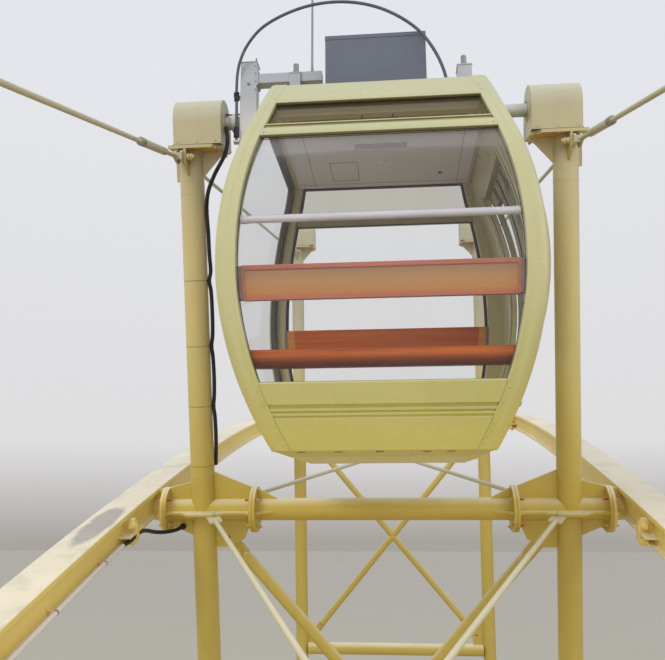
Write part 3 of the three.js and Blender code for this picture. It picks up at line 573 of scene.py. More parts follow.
def curve_points(points, count):
    """Evenly read points on a centripetal Catmull-Rom curve."""
    pts = [Vector(p) for p in points]
    pts = [pts[0] * 2 - pts[1]] + pts + [pts[-1] * 2 - pts[-2]]
    fine = []
    for i in range(1, len(pts) - 2):
        p = pts[i - 1:i + 3]
        knots = [0.0]
        for j in range(3):
            knots.append(knots[-1] + max(1e-6, (p[j + 1] - p[j]).length) ** 0.5)

        def blend(a, b, j, k, t):
            share = (t - knots[j]) / (knots[k] - knots[j])
            return a * (1 - share) + b * share

        for s in range(24):
            t = knots[1] + (knots[2] - knots[1]) * s / 24
            a = [blend(p[j], p[j + 1], j, j + 1, t) for j in range(3)]
            b = [blend(a[j], a[j + 1], j, j + 2, t) for j in range(2)]
            fine.append(blend(b[0], b[1], 1, 2, t))
    fine.append(pts[-2])
    reach = [0.0]
    for a, b in zip(fine, fine[1:]):
        reach.append(reach[-1] + (b - a).length)
    out = []
    j = 0
    for i in range(count):
        want = reach[-1] * i / (count - 1)
        while j < len(reach) - 2 and reach[j + 1] < want:
            j += 1
        share = (want - reach[j]) / max(1e-9, reach[j + 1] - reach[j])
        out.append(fine[j].lerp(fine[j + 1], min(1.0, share)))
    return out


def pipe(kit, points, radius, sides=14, slot=0, radii=None):
    """A round section carried along points without twist."""
    points = [Vector(p) for p in points]
    last = len(points) - 1
    tangents = [(points[min(i + 1, last)] - points[max(i - 1, 0)]).normalized() for i in range(last + 1)]
    first, _ = across(tangents[0])
    rings = []
    for i, (point, tangent) in enumerate(zip(points, tangents)):
        first = (first - tangent * first.dot(tangent)).normalized()
        rings.append(ring_at(point, first, tangent.cross(first), radii[i] if radii else radius, sides))
    skin(kit, rings, slot)


# Wheel frame
FRAME_PAINTS = [CREAM, DARK, RED]
ROD_PAINTS = [ROD_CREAM, STEEL]
TAGS = {-1: "front", 0: "middle", 1: "back"}
HANDS = {-1: "left", 1: "right"}
SIDES = (-1, 1)
PLATE = 0.016
PLAN_BOTTOM_U = PLAN_PLATE_U - PLATE
FLANGE_FACES = {"cross": (0.91185, -1), "inner": (0.91215, 1), "outer": (1.54785, -1), "arm": (1.54815, 1)}
WELDS_U = (-0.487, -2.474, -3.25, -5.55)
BOLT_CIRCLE = 0.128
GUSSET_IN_X, GUSSET_OUT_X = 0.93315, 1.52585
BRACE_X, BRACE_T, BRACE_U, BRACE_RADIUS = 1.135, 0.0163, (-2.905, -5.625), 0.042
TIE_T, TIE_RADIUS, SLEEVE_FROM_END, PIN_RADIUS = 0.19, 0.0145, 0.245, 0.015
PLAN_X, PLAN_T, PLAN_RADIUS = 1.14, 0.25, 0.017
RIM_END_T = (-0.799, 0.35)


def steel(kit, name, node, bevel=0.0, paints=FRAME_PAINTS, slot="cream_steel"):
    kit.make(name, node, slot, paints, bevel, body="wheel_frame")


def weld(kit, at, axis, radius):
    turned(kit, Vector(at) - Vector(axis) * 0.004, axis,
           [(0, radius - 0.002), (0.002, radius + 0.0014), (0.006, radius + 0.0014),
            (0.008, radius - 0.002)],
           48)


def flange(kit, face, red=()):
    """A ring plate on a cross tube, with its collar and eight bolts. The red ones are bare studs."""
    x, way = FLANGE_FACES[face]
    turned(kit, (x, 0, UPPER_U), (way, 0, 0), [(0, 0.157), (0.003, 0.16), (0.019, 0.16), (0.022, 0.157)],
           56)
    turned(kit, (x, 0, UPPER_U), (way, 0, 0), [(0.02, 0.0875), (0.026, 0.0865), (0.032, 0.079)], 44)
    x += way * FLANGE_THICK
    for i in range(8):
        a = math.radians(45 * i)
        t, u = -BOLT_CIRCLE * math.cos(a), UPPER_U + BOLT_CIRCLE * math.sin(a)
        if i in red:
            rod(kit, (x, t, u), (x + way * 0.033, t, u), 0.0068, 12, 0.001, 2)
        else:
            bolt(kit, (x, t, u), (way, 0, 0), 0.0135, shank=0.012)


def foot(kit):
    holes = [circle(0.013, centre=(sx * 0.118, sy * 0.118)) for sx in SIDES for sy in SIDES]
    outline = [(-0.15, -0.142), (-0.142, -0.15), (0.142, -0.15), (0.15, -0.142),
               (0.15, 0.142), (0.142, 0.15), (-0.142, 0.15), (-0.15, 0.142)]
    flat(kit, [(POST_X + a, b) for a, b in outline], FOOT_U, FOOT_U + 0.025, 0,
         [[(POST_X + a, b) for a, b in hole] for hole in holes])
    fin = [(0.078, 0.024), (0.142, 0.024), (0.142, 0.038), (0.088, 0.15), (0.078, 0.15)]
    for ca, sa in ((1, 0), (0, 1), (-1, 0), (0, -1)):
        prism(kit, fin, lambda a, b, c: (POST_X + a * ca - (c - 0.006) * sa,
                                         a * sa + (c - 0.006) * ca, FOOT_U + b), 0.012)


def housing(kit, round_top=0.16):
    """The round-topped bearing cover on its foot lip, with an end cap and its small bolts."""
    joint = BASE_TOP_U + 0.0003
    arch = [(round_top * math.cos(a),
             round_top * math.sin(a)) for a in (math.pi * i / 44 for i in range(45))]
    sideways(kit, [(round_top, joint)] + arch + [(-round_top, joint)], 1.036, 0.33)
    flat(kit, [(1.038, -0.177), (1.366, -0.177), (1.366, 0.177), (1.038, 0.177)], -0.1655, -0.1565)
    flat(kit, [(1.036, -0.1785), (1.368, -0.1785), (1.368, 0.1785), (1.036, 0.1785)], joint, joint + 0.0028,
         1)
    for x in (1.075, 1.205, 1.335):
        for t in (-0.1705, 0.1705):
            bolt(kit, (x, t, -0.1567), (0, 0, 1), 0.01, washer=False, shank=0.012)
    turned(kit, (1.364, 0, 0), (1, 0, 0), [(0, 0.098), (0.006, 0.098), (0.009, 0.094)], 44)
    for t, u in circle(0.082, 6, turn=30):
        bolt(kit, (1.372, t, u), (1, 0, 0), 0.008)


def open_housing_mouth(kit):
    """A ring round the axle on the housing's inner face, with a dark seal in it."""
    for outer, inner, depth, slot in ((0.078, 0.058, 0.007, 0), (0.058, 0.0465, 0.004, 1)):
        sideways(kit, circle(outer, 40), 1.0365, -depth, slot, [circle(inner, 40)])
    for t, u in circle(0.068, 6):
        bolt(kit, (1.0295, t, u), (-1, 0, 0), 0.0055, washer=False)


def post(bay, side):
    kit = Kit(frame_matrix(bay), side)
    rod(kit, (POST_X, 0, FOOT_U + 0.024), (POST_X, 0, BASE_BOTTOM_U + 0.001), POST_RADIUS, 56)
    for u in WELDS_U:
        weld(kit, (POST_X, 0, u), (0, 0, 1), POST_RADIUS)
    foot(kit)
    base = [(1.03, -0.105), (1.098, -0.18), (1.4, -0.18), (1.4, 0.18), (1.098, 0.18), (1.03, 0.105)]
    flat(kit, base, BASE_BOTTOM_U, BASE_TOP_U)
    rod(kit, (0.917, 0, UPPER_U), (1.545, 0, UPPER_U), CROSS_RADIUS, 44)
    flange(kit, "inner", (1, 7) if side > 0 else (1,))
    flange(kit, "outer", (1,))
    low = LOWER_U + 0.079
    for outline in (
            [(1.22, -2.45), (1.22, -2.66), (GUSSET_IN_X, -2.66), (GUSSET_IN_X, -2.568)],
            [(1.354, -2.526), (1.354, -2.66), (1.52685, -2.66), (1.52685, -2.571)],
            [(1.22, -2.79), (1.22, -3.003), (1.095, -3.003), (0.995, -2.942), (GUSSET_IN_X, -2.8),
             (GUSSET_IN_X, -2.79)],
            [(1.354, -2.79), (1.354, -2.924), (1.52085, -2.85), (1.52085, -2.79)],
            [(1.22, low), (1.07, low), (1.04, -5.54), (1.22, -5.38)],
            [(1.23, -0.189), (1.23, -0.39), (1.045, -0.189)],
            [(1.365, -0.189), (1.398, -0.189), (1.394, -0.235), (1.394, -0.39), (1.365, -0.39)]):
        upright(kit, outline, PLATE)
    half = [(GUSSET_IN_X, 0.115), (1.1, 0.118), (1.19, 0.168), (1.365, 0.168), (1.43, 0.118),
            (GUSSET_OUT_X, 0.112)]
    flat(kit, [(x, -t) for x, t in half] + half[::-1], PLAN_BOTTOM_U, PLAN_PLATE_U)
    ear = [(0.178, -0.189), (0.178, -0.275), (0.168, -0.292), (0.08, -0.365)]
    sideways(kit, [(-0.178, -0.189)] + ear + [(-t, u) for t, u in ear[:0:-1]], 1.279, PLATE)
    for t in (-TIE_PIN_T, TIE_PIN_T):
        rod(kit, (1.226, t, TIE_U), (1.352, t, TIE_U), PIN_RADIUS, 24, 0.002)
        turned(kit, (1.2785, t, TIE_U), (-1, 0, 0),
               [(0, 0.023), (0.003, 0.024), (0.018, 0.024), (0.02, 0.022)], 28)
        turned(kit, (1.256, t, TIE_U), (-1, 0, 0), [(0, 0.023), (0.014, 0.023), (0.017, 0.02)], 6)
    for x in (1.075, 1.205, 1.34):
        for t in (-0.158, 0.158):
            if t < 0 and x < 1.3:
                rod(kit, (x, t, BASE_BOTTOM_U), (x, t, BASE_BOTTOM_U - 0.036), 0.0062, 12, 0.001, 2)
            bolt(kit, (x, t, BASE_BOTTOM_U), (0, 0, -1), 0.01, shank=0.004)
    if bay:
        housing(kit, 0.1597)
    name = f"{TAGS[bay]}_post_{HANDS[side]}"
    steel(kit, name + "_steel", name, 0.0022)


def cross_tubes(bay):
    kit = Kit(frame_matrix(bay))
    rod(kit, (-0.907, 0, UPPER_U), (0.907, 0, UPPER_U), CROSS_RADIUS, 48)
    for side in SIDES:
        half = Kit(frame_matrix(bay), side)
        flange(half, "cross")
        upright(half, [(0.901, -2.57), (0.901, -2.66), (0.737, -2.66)], PLATE)
        flat(half, [(0.901, -0.115), (0.901, 0.115), (0.722, 0.07), (0.722, -0.07)], PLAN_BOTTOM_U,
             PLAN_PLATE_U)
        kit.merge(half)
    steel(kit, TAGS[bay] + "_upper_cross", TAGS[bay] + "_upper_cross_tube", 0.002)
    low = Kit(frame_matrix(bay))
    reach = POST_X - POST_RADIUS - 0.0003
    rod(low, (-reach, 0, LOWER_U), (reach, 0, LOWER_U), CROSS_RADIUS, 48)
    for x in (-reach + 0.006, reach - 0.006):
        weld(low, (x, 0, LOWER_U), (1, 0, 0), CROSS_RADIUS)
    steel(low, TAGS[bay] + "_lower_cross", TAGS[bay] + "_lower_cross_tube")


def cross_brace(bay):
    kit = Kit(frame_matrix(bay))
    paddle = [(0.045, 0.0), (0.045, 0.2), (0.03, 0.24)]
    paddle = [(-0.045, 0.0), (-0.03, -0.002), (0.03, -0.002)] + paddle + [(-a, b) for a, b in paddle[:0:-1]]
    for side in SIDES:
        top = Vector((side * BRACE_X, BRACE_T, BRACE_U[0]))
        bottom = Vector((-side * BRACE_X, BRACE_T, BRACE_U[1]))
        along = (bottom - top).normalized()
        wide = Vector((-along.z, 0, along.x))
        start, end = top + along * 0.21, bottom - along * 0.21
        rod(kit, start, end, BRACE_RADIUS, 32)
        for at, way in ((start, -1), (end, 1)):
            turned(kit, at, along * way, [(-0.04, 0.0425), (-0.01, 0.041), (0.02, 0.012)], 32)
        for at, way in ((top, 1), (bottom, -1)):
            prism(kit, paddle,
                  lambda a, b, c: at + wide * a + along * (b * way) + Vector((0, c - 0.008, 0)), PLATE)
            for reach in (0.035, 0.095, 0.155):
                middle = at + along * (way * reach)
                bolt(kit, middle + Vector((0, 0.008, 0)), (0, 1, 0), 0.0125, shank=0.008)
                bolt(kit, middle - Vector((0, 0.0243, 0)), (0, -1, 0), 0.0125, 2 if reach == 0.035 else 0)
    steel(kit, TAGS[bay] + "_cross_braces", TAGS[bay] + "_cross_brace", 0.0015)


def rim(side):
    """The curved rim with a sunk inner web, joints with splice plates, and its stub arms."""
    kit = Kit()
    start, end = -1 + RIM_END_T[0] / BAY_PITCH, 1 + RIM_END_T[1] / BAY_PITCH
    count = 84
    edge = 0.005
    (x0, x1), (u0, u1) = RIM_X, RIM_U
    sunk = x0 + RIM_RECESS
    section = [(x0 + edge, u0), (x1 - edge, u0), (x1, u0 + edge), (x1, u1 - edge), (x1 - edge, u1),
               (x0 + 0.034, u1), (x0 + 0.031, u1 + 0.004), (x0 + 0.004, u1 + 0.004), (x0, u1),
               (x0, u1 - 0.026), (x0 + 0.004, u1 - 0.03), (sunk - 0.004, u1 - 0.032), (sunk, u1 - 0.036),
               (sunk, u0 + 0.026), (sunk - 0.004, u0 + 0.022), (x0 + 0.004, u0 + 0.02), (x0, u0 + 0.016),
               (x0, u0 + edge)]
    stations = [start + (end - start) * i / count for i in range(count + 1)]
    skin(kit, [[in_frame(station, side * x, 0, u) for x, u in section] for station in stations])
    octagon = [(1.552, -2.65), (1.576, -2.612), (sunk + 0.004, -2.608), (sunk + 0.004, -2.745),
               (x0, -2.745), (x0 - 0.001, -2.785), (1.576, -2.782), (1.552, -2.744)]
    for bay in TAGS:
        arm = Kit(frame_matrix(bay), side)
        rod(arm, (1.553, 0, UPPER_U), (1.64, 0, UPPER_U), CROSS_RADIUS, 44)
        flange(arm, "arm")
        upright(arm, [(1.564, -2.572), (1.64, -2.594), (1.64, -2.66), (1.564, -2.66)], PLATE)
        flat(arm, [(1.564, -0.112), (1.564, 0.112), (1.64, 0.092), (1.64, -0.092)], PLAN_BOTTOM_U,
             PLAN_PLATE_U)
        for t in (SPLICE_T - 0.01, SPLICE_T + 0.01):
            upright(arm, octagon, PLATE, t)
        for u in (-2.654, -2.744):
            for way in SIDES:
                t = SPLICE_T + way * 0.018
                turned(arm, (1.589, t, u), (0, way, 0), [(0, 0.028), (0.005, 0.028)], 24)
                bolt(arm, (1.589, t + way * 0.005, u), (0, way, 0), 0.022, shank=0.016)
        block(arm, (1.556, sunk + 0.004), (SPLICE_T - SPLICE_HALF, SPLICE_T + SPLICE_HALF),
              (-2.704, -2.693))
        kit.merge(arm)
    steel(kit, f"rim_{HANDS[side]}_box", f"rim_{HANDS[side]}", 0.0015, [RIM_CREAM])


def tie_rod(bay, side):
    """A stay with lug plates at both ends, necks, and a long turnbuckle sleeve near its far end."""
    kit = Kit()
    start = in_frame(bay, side * TIE_X, TIE_T, TIE_U)
    end = in_frame(bay + 1, side * TIE_X, -TIE_T, TIE_U)
    along = (end - start).normalized()
    rod(kit, start, end, TIE_RADIUS, 24)
    sleeve = end - along * SLEEVE_FROM_END
    turned(kit, sleeve, -along,
           [(0, 0.0165), (0.006, 0.0225), (0.018, 0.0248), (0.42, 0.0248), (0.424, 0.0238)], 32)
    nut = [(0, 0.024), (0.001, 0.0262), (0.007, 0.0262), (0.008, 0.024)]
    for reach in (0.424, 0.468):
        turned(kit, sleeve - along * reach, -along, nut, 32, 1)
    turned(kit, sleeve - along * 0.432, -along,
           [(0, 0.025), (0.002, 0.0258), (0.034, 0.0258), (0.036, 0.025)], 6, 1)
    lug = [(TIE_PIN_T + 0.046 * math.cos(a),
            0.046 * math.sin(a)) for a in (math.radians(70 + 22 * i) for i in range(11))]
    lug += [(0.192, -0.036), (0.214, -0.024), (0.214, 0.024), (0.192, 0.036)]
    spacer = [(0.17, -0.022), (0.2145, -0.022), (0.2145, 0.022), (0.17, 0.022)]
    for at, way in ((start, 1), (end, -1)):
        turned(kit, at, along * way, [(0, 0.0235), (0.014, 0.0235), (0.022, 0.017), (0.05, 0.015)], 24)
    for at_bay, way in ((bay, 1), (bay + 1, -1)):
        eye = Kit(frame_matrix(at_bay), side)
        for outline, x, thick in ((lug, 1.2956, 0.0145), (lug, 1.3365, 0.0145), (spacer, 1.3095, 0.0275)):
            sideways(eye, [(way * a, TIE_U + b) for a, b in outline], x, thick)
        kit.merge(eye)
    name = f"{'front' if bay < 0 else 'back'}_tie_"
    steel(kit, name + HANDS[side], f"{name}rod_{HANDS[side]}", 0.0012, ROD_PAINTS)


def plan_brace(bay):
    kit = Kit()
    u = PLAN_BOTTOM_U - 0.0003 - 0.006
    swing = math.atan2(2 * PLAN_X, BAY_PITCH - 2 * PLAN_T)
    outline = [(-0.046, -0.085), (0.046, -0.085), (0.046, 0.07), (0.034, 0.085), (-0.034, 0.085),
               (-0.046, 0.07)]
    for side in SIDES:
        start = in_frame(bay, side * PLAN_X, PLAN_T, u)
        end = in_frame(bay + 1, -side * PLAN_X, -PLAN_T, u)
        rod(kit, start, end, PLAN_RADIUS, 18)
        for at_bay, hand, way in ((bay, side, 1), (bay + 1, -side, -1)):
            paddle = Kit(frame_matrix(at_bay))
            along = Vector((-hand * math.sin(swing), way * math.cos(swing), 0))
            middle = Vector((hand * PLAN_X, way * PLAN_T, u)) - along * 0.065
            wide = Vector((along.y, -along.x, 0))
            prism(paddle, outline,
                  lambda a, b, c: middle + wide * a + along * b + Vector((0, 0, c - 0.006)), 0.012)
            for reach in (-0.068, -0.035):
                at = middle + along * reach
                bolt(paddle, at - Vector((0, 0, 0.006)), (0, 0, -1), 0.011)
                bolt(paddle, at + Vector((0, 0, 0.0226)), (0, 0, 1), 0.011, shank=0.01)
            kit.merge(paddle)
    name = "front" if bay < 0 else "back"
    steel(kit, name + "_plan_rods", name + "_plan_brace", 0.0012, ROD_PAINTS[:1])


for bay in TAGS:
    for side in SIDES:
        post(bay, side)
    cross_tubes(bay)
    cross_brace(bay)
for side in SIDES:
    rim(side)
    cover = Kit(frame_matrix(0), side)
    housing(cover)
    open_housing_mouth(cover)
    steel(cover, f"housing_{HANDS[side]}_cover", f"housing_{HANDS[side]}", 0.003)
    for bay in (-1, 0):
        tie_rod(bay, side)
plan_brace(-1)
plan_brace(0)


def conduit():
    """The clipped conduit on the left rim's inner web, in lengths with couplings."""
    kit = Kit()

    def at(station):
        return in_frame(station, CONDUIT_X, 0, CONDUIT_U)

    pipe(kit, [at(-0.972 + 0.8216 * i / 40) for i in range(41)], 0.014, 18)
    for s in (-0.76, -0.46):
        rod(kit, at(s - 0.005), at(s + 0.005), 0.0165, 20, 0.002)
    web = -RIM_X[0] - RIM_RECESS
    for i in range(7):
        clip = Kit(frame_matrix(-0.925 + 0.12 * i))
        rod(clip, (CONDUIT_X, -0.006, CONDUIT_U), (CONDUIT_X, 0.006, CONDUIT_U), 0.0156, 20, 0.001, 1)
        block(clip, (web + 0.0005, CONDUIT_X - 0.006), (-0.006, 0.006),
              (CONDUIT_U + 0.008, CONDUIT_U + 0.0125), 2)
        block(clip, (web + 0.0002, web + 0.0035), (-0.009, 0.009), (CONDUIT_U - 0.008, CONDUIT_U + 0.036),
              2)
        kit.merge(clip)
    steel(kit, "rim_conduit_tube", "rim_conduit", 0, [CONDUIT_WHITE, BAND, RIM_CREAM], "white_steel")


conduit()

# The routes of the held cords, as (x, t, u) in the middle frame.
HOSE_ROUTE = [(-1.44, -0.0086, -2.85), (-1.44, -0.03, -2.85), (-1.476, -0.112, -2.85),
              (-1.53, -0.2, -2.835),
              (-1.565, -0.3, -2.8), (-1.573, -0.4, -2.76), (-1.573, -0.5, -2.732), (-1.573, -0.62, -2.722),
              (-1.573, -0.725, -2.726), (-1.5895, -0.768, -2.7304), (-1.5908, -0.785, -2.7311)]
CABLE_X, CABLE_T = -1.189, -0.0086
CABLE_TIES = (-0.6, -1.089, -1.552, -1.978)
POST_BANDS = CABLE_TIES[1:] + (-2.405,)
CABLE_ROUTE = [(-1.016, -0.078, -0.04), (-1.006, -0.092, -0.09), (-1.004, -0.112, -0.165),
               (-1.026, -0.118, -0.24),
               (-1.108, -0.094, -0.37), (-1.168, -0.042, -0.48)]
CABLE_ROUTE += [(x, CABLE_T, u) for x, u in (
    (-1.189, -0.575), (-1.189, -0.64), (-1.184, -0.74), (-1.1815, -0.9), (-1.177, -1.03),
    (-1.189, -1.089), (-1.179, -1.16), (-1.175, -1.33), (-1.179, -1.48), (-1.189, -1.552),
    (-1.182, -1.62), (-1.178, -1.76), (-1.182, -1.91), (-1.189, -1.978))]
CABLE_ROUTE += [(-1.183, -0.006, -2.05), (-1.182, 0.002, -2.18), (-1.189, 0.02, -2.3),
                (-1.2018, 0.0495, -2.415)]


def ribbed(count, radius, rib, pitch):
    return [radius + rib * math.cos(2 * math.pi * i / pitch) for i in range(count)]


def cords():
    """The hose at the rim and the cable on the left post. Both are held all the way, with taut ties."""
    at = frame_matrix(0)
    hose = Kit(at)
    line = curve_points(HOSE_ROUTE, 180)
    pipe(hose, line, 0.014, 16, 0, ribbed(180, 0.0132, 0.0008, 2.5))
    turned(hose, line[0], (0, -1, 0), [(0, 0.02), (0.004, 0.022), (0.022, 0.022), (0.028, 0.016)], 20)
    steel(hose, "rim_hose_ribbed", "rim_hose", 0, [BLACK], "black_rubber")
    cable = Kit(at)
    pipe(cable, curve_points(CABLE_ROUTE, 260), 0.0138, 16)
    steel(cable, "post_cable_sheath", "post_cable", 0, [BLACK], "black_rubber")
    ties = Kit(at)
    band = [(0, 0.0838), (0.001, 0.0847), (0.005, 0.0847), (0.006, 0.0838)]
    for u in POST_BANDS:
        turned(ties, (-POST_X, 0, u - 0.003), (0, 0, 1), band, 44)
    for u in CABLE_TIES:
        rod(ties, (CABLE_X, CABLE_T, u - 0.004), (CABLE_X, CABLE_T, u + 0.005), 0.015, 18, 0.0015, 1)
    steel(ties, "cable_ties", None, 0, [BAND, BLACK], None)


cords()


# Cabin shell
SHELL_PAINTS = [LIME, GASKET, LIME_INSIDE, STEEL, DARK, SEAL]
ENDS = {-1: "front", 1: "back"}
SIDE_RADIUS_LOW, SIDE_RADIUS_HIGH, END_RADIUS = 2.15, 2.72, 2.05
END_Y = 0.935
SHOULDER_SLOPE = 0.244
HOOP_DEEP = 0.1004
CLEAR = 0.0005
PANE_INSET = (0.036, 0.044)
RAIL_Y, RAIL_RADIUS = 0.852, 0.022
DOOR_BULGE, DOOR_MIDDLE, DOOR_HALF = 0.05, -1.2875, 0.7875


def shell(kit, name, node, bevel=0.0012, angle=40, slot="lime_shell"):
    kit.make(name, node, slot if node else None, SHELL_PAINTS, bevel, angle)


def drop(radius, offset):
    return radius - math.sqrt(radius * radius - offset * offset)


def side_at(z):
    """Half the shell's width at a height."""
    if z <= BELLY_Z:
        return BELLY_WIDE - drop(SIDE_RADIUS_LOW, z - BELLY_Z)
    upper = BELLY_WIDE - drop(SIDE_RADIUS_HIGH, min(z, SHOULDER_Z) - BELLY_Z)
    return upper - SHOULDER_SLOPE * max(0.0, z - SHOULDER_Z)


def end_at(z):
    return END_Y - drop(END_RADIUS, z - BELLY_Z)


def band_at(z):
    return HOOP_BAND - 0.011 * max(0.0, (z - BELLY_Z) / (SHELL_TOP - BELLY_Z))


def inner_at(z):
    return side_at(z) - band_at(z)


def hoop_back(z):
    return end_at(z) - HOOP_DEEP


def door_side(z):
    return side_at(z) + DOOR_BULGE * max(0.0, 1 - ((z - DOOR_MIDDLE) / DOOR_HALF) ** 2)


def levels(low, high, step=0.05):
    count = max(1, math.ceil((high - low) / step))
    return [low + (high - low) * i / count for i in range(count + 1)]


def spanned(kit, end, outline, slot=0, clear=CLEAR):
    """A piece that spans between the hoops, with a closed outline of (z, inset) pairs."""
    skin(kit, [[(way * (inner_at(z) - clear), end * (end_at(z) - inset), z) for z, inset in outline]
               for way in SIDES], slot)


def mirrored(edge, inset=0.0):
    """The left and right edges of an outline whose half width is edge(z) less the inset."""
    return lambda z: inset - edge(z), lambda z: edge(z) - inset


def fixed(*values):
    """Straight left and right edges, in order."""
    low, high = sorted(values)
    return lambda z: low, lambda z: high


def loop(low, high, edges, corner=0.03, per_side=16, arc=6):
    """A closed outline with rounded corners, whose upright sides follow the two edges."""
    left, right = edges
    shares = [i / (per_side - 1) for i in range(per_side)]
    turns = [math.pi / 2 * i / (arc + 1) for i in range(1, arc + 1)]
    points = []
    for z0, z1, start, finish in ((low, high, left, right), (high, low, right, left)):
        way = 1 if z0 < z1 else -1
        a0, a1 = start(z0) + way * corner, finish(z0) - way * corner
        points += [(a0 + (a1 - a0) * share, z0) for share in shares]
        for a in turns:
            z = z0 + way * corner * (1 - math.cos(a))
            points.append((finish(z) - way * corner * (1 - math.sin(a)), z))
        for share in shares:
            z = z0 + way * corner + (z1 - z0 - 2 * way * corner) * share
            points.append((finish(z), z))
        for a in turns:
            z = z1 - way * corner * (1 - math.sin(a))
            points.append((finish(z) - way * corner * (1 - math.cos(a)), z))
    return points


def ringed(kit, outer, inner, place, depths, slot=0, cuts=8):
    """A frame between two matching outlines. place(a, z, depth) gives each point."""
    rows = []
    for j in range(cuts + 1):
        share = j / cuts
        rows.append([(o[0] + (i[0] - o[0]) * share, o[1] + (i[1] - o[1]) * share)
                     for o, i in zip(outer, inner)])
    near, far = ([[place(a, z, depth) for a, z in row] for row in rows] for depth in depths)
    rows = near + far[::-1]
    count, total = len(outer), len(rows)
    faces = []
    for j in range(total):
        for i in range(count):
            a, b = j * count, (j + 1) % total * count
            faces.append([a + i, a + (i + 1) % count, b + (i + 1) % count, b + i])
    kit.add([point for row in rows for point in row], faces, slot)


def sheeted(kit, low, high, edges, place, depths, slot=0, step=0.05):
    """A solid panel between two edges on a curved side."""
    left, right = edges
    near, far = depths
    skin(kit,
         [[place(left(z), z, near), place(right(z), z, near), place(right(z), z, far),
           place(left(z), z, far)]
               for z in levels(low, high, step)], slot)


HOOP_SECTION = [(0, 0.1), (0, 0.038), (0.003, 0.026), (0.009, 0.016), (0.018, 0.009), (0.032, 0.004),
                (0.046, 0.0012), (0.054, 0.0006), (0.061, 0.0014), (0.066, 0.004), (0.07, 0.0048),
                (0.098, 0.005),
                (0.102, 0.0036), (0.106, 0.0034), (0.111, 0.0042), (0.116, 0.0065), (0.116, 0.1)]
RIVET_LEVELS = (-2.011, -2.086, -2.193, -2.227, -2.259, -2.292, -0.165, -0.215)


def hoop(end, side):
    kit = Kit(SHELL_AT, side)

    def place(a, inset, z):
        return (side_at(z) - a * band_at(z) / HOOP_BAND, end * (end_at(z) - inset), z)

    skin(kit,
         [[place(a, inset, z) for a, inset in HOOP_SECTION] for z in levels(SHELL_BOTTOM, SHELL_TOP,
                                                                            0.035)])
    for z in RIVET_LEVELS:
        rivet(kit, place(0.092, 0.0049, z), (0, end, 0), 0.0064)
    name = f"{ENDS[end]}_hoop_{HANDS[side]}"
    shell(kit, name + "_moulding", name, 0, 50)


BAND_SECTION = [(-0.258, 0.04), (-0.258, 0.007), (-0.256, 0.003)]
BAND_SECTION += [(z, 0.0005) for z in levels(-0.249, -0.088, 0.04)]
BAND_SECTION += [(-0.077, 0.003), (-0.071, 0.009), (-0.0675, 0.018), (-0.066, 0.03), (-0.066, 0.04)]
BAND_SEAL = [(-0.2585, 0.03), (-0.2585, 0.035), (-0.261, 0.035), (-0.261, 0.03)]
TRANSOM_SECTION = [(-0.53, 0.0357), (-0.53, 0.006), (-0.528, 0.002), (-0.524, 0.0005), (-0.477, 0.0005),
                   (-0.474, 0.003), (-0.473, 0.02), (-0.45, 0.019), (-0.448, 0.004), (-0.441, 0.003),
                   (-0.439, 0.006), (-0.439, 0.0357)]
TRANSOM_SEAL = [(-0.5305, 0.029), (-0.5305, 0.035), (-0.533, 0.035), (-0.533, 0.029)]
RIBS = [(-2.16, 0.0005), (-2.153, 0.016), (-2.148, 0.016), (-2.145, 0.007), (-2.133, 0.007),
        (-2.128, 0.018),
        (-2.124, 0.018), (-2.121, 0.007), (-2.107, 0.007), (-2.102, 0.018), (-2.0895, 0.016),
        (-2.088, 0.0005)]
PANEL_SECTION = [(z, 0.0005) for z in levels(SHELL_BOTTOM, -2.165, 0.035)] + RIBS
PANEL_SECTION += [(z, 0.0005) for z in levels(-2.084, -1.979, 0.035)]
PANEL_SECTION += [(-1.973, 0.004), (-1.969, 0.012), (-1.969, 0.044)]
PANEL_SECTION += [(z, 0.044) for z in reversed(levels(SHELL_BOTTOM, -2.05, 0.06))]


def end_face(end):
    for name, node, section, seal, angle in (("band_moulding", "roof_band", BAND_SECTION, BAND_SEAL, 30),
                                             ("transom_rail", "transom", TRANSOM_SECTION, TRANSOM_SEAL, 30),
                                             ("ribbed_panel", "lower_panel", PANEL_SECTION, None, 26)):
        kit = Kit(SHELL_AT)
        spanned(kit, end, section)
        if seal:
            spanned(kit, end, seal, 1, 0.001)
        if node == "transom":
            z = -0.507
            for side in SIDES:
                rivet(kit, (side * (inner_at(z) - 0.018), end * (end_at(z) - 0.0006), z), (0, end, 0),
                      0.0052, 3)
        shell(kit, f"{ENDS[end]}_{name}", f"{ENDS[end]}_{node}", 0.0012, angle)


# Each end's panes: lowest and highest level of the gasket, its width at the sides, and at the top.
END_GASKETS = {-1: ((-1.967, -0.531, 0.006, 0.003), (-0.438, -0.26, 0.006, 0.003)),
               1: ((-1.966, -0.532, 0.026, 0.006), (-0.438, -0.261, 0.026, 0.022))}
CATCH_Z = -0.42


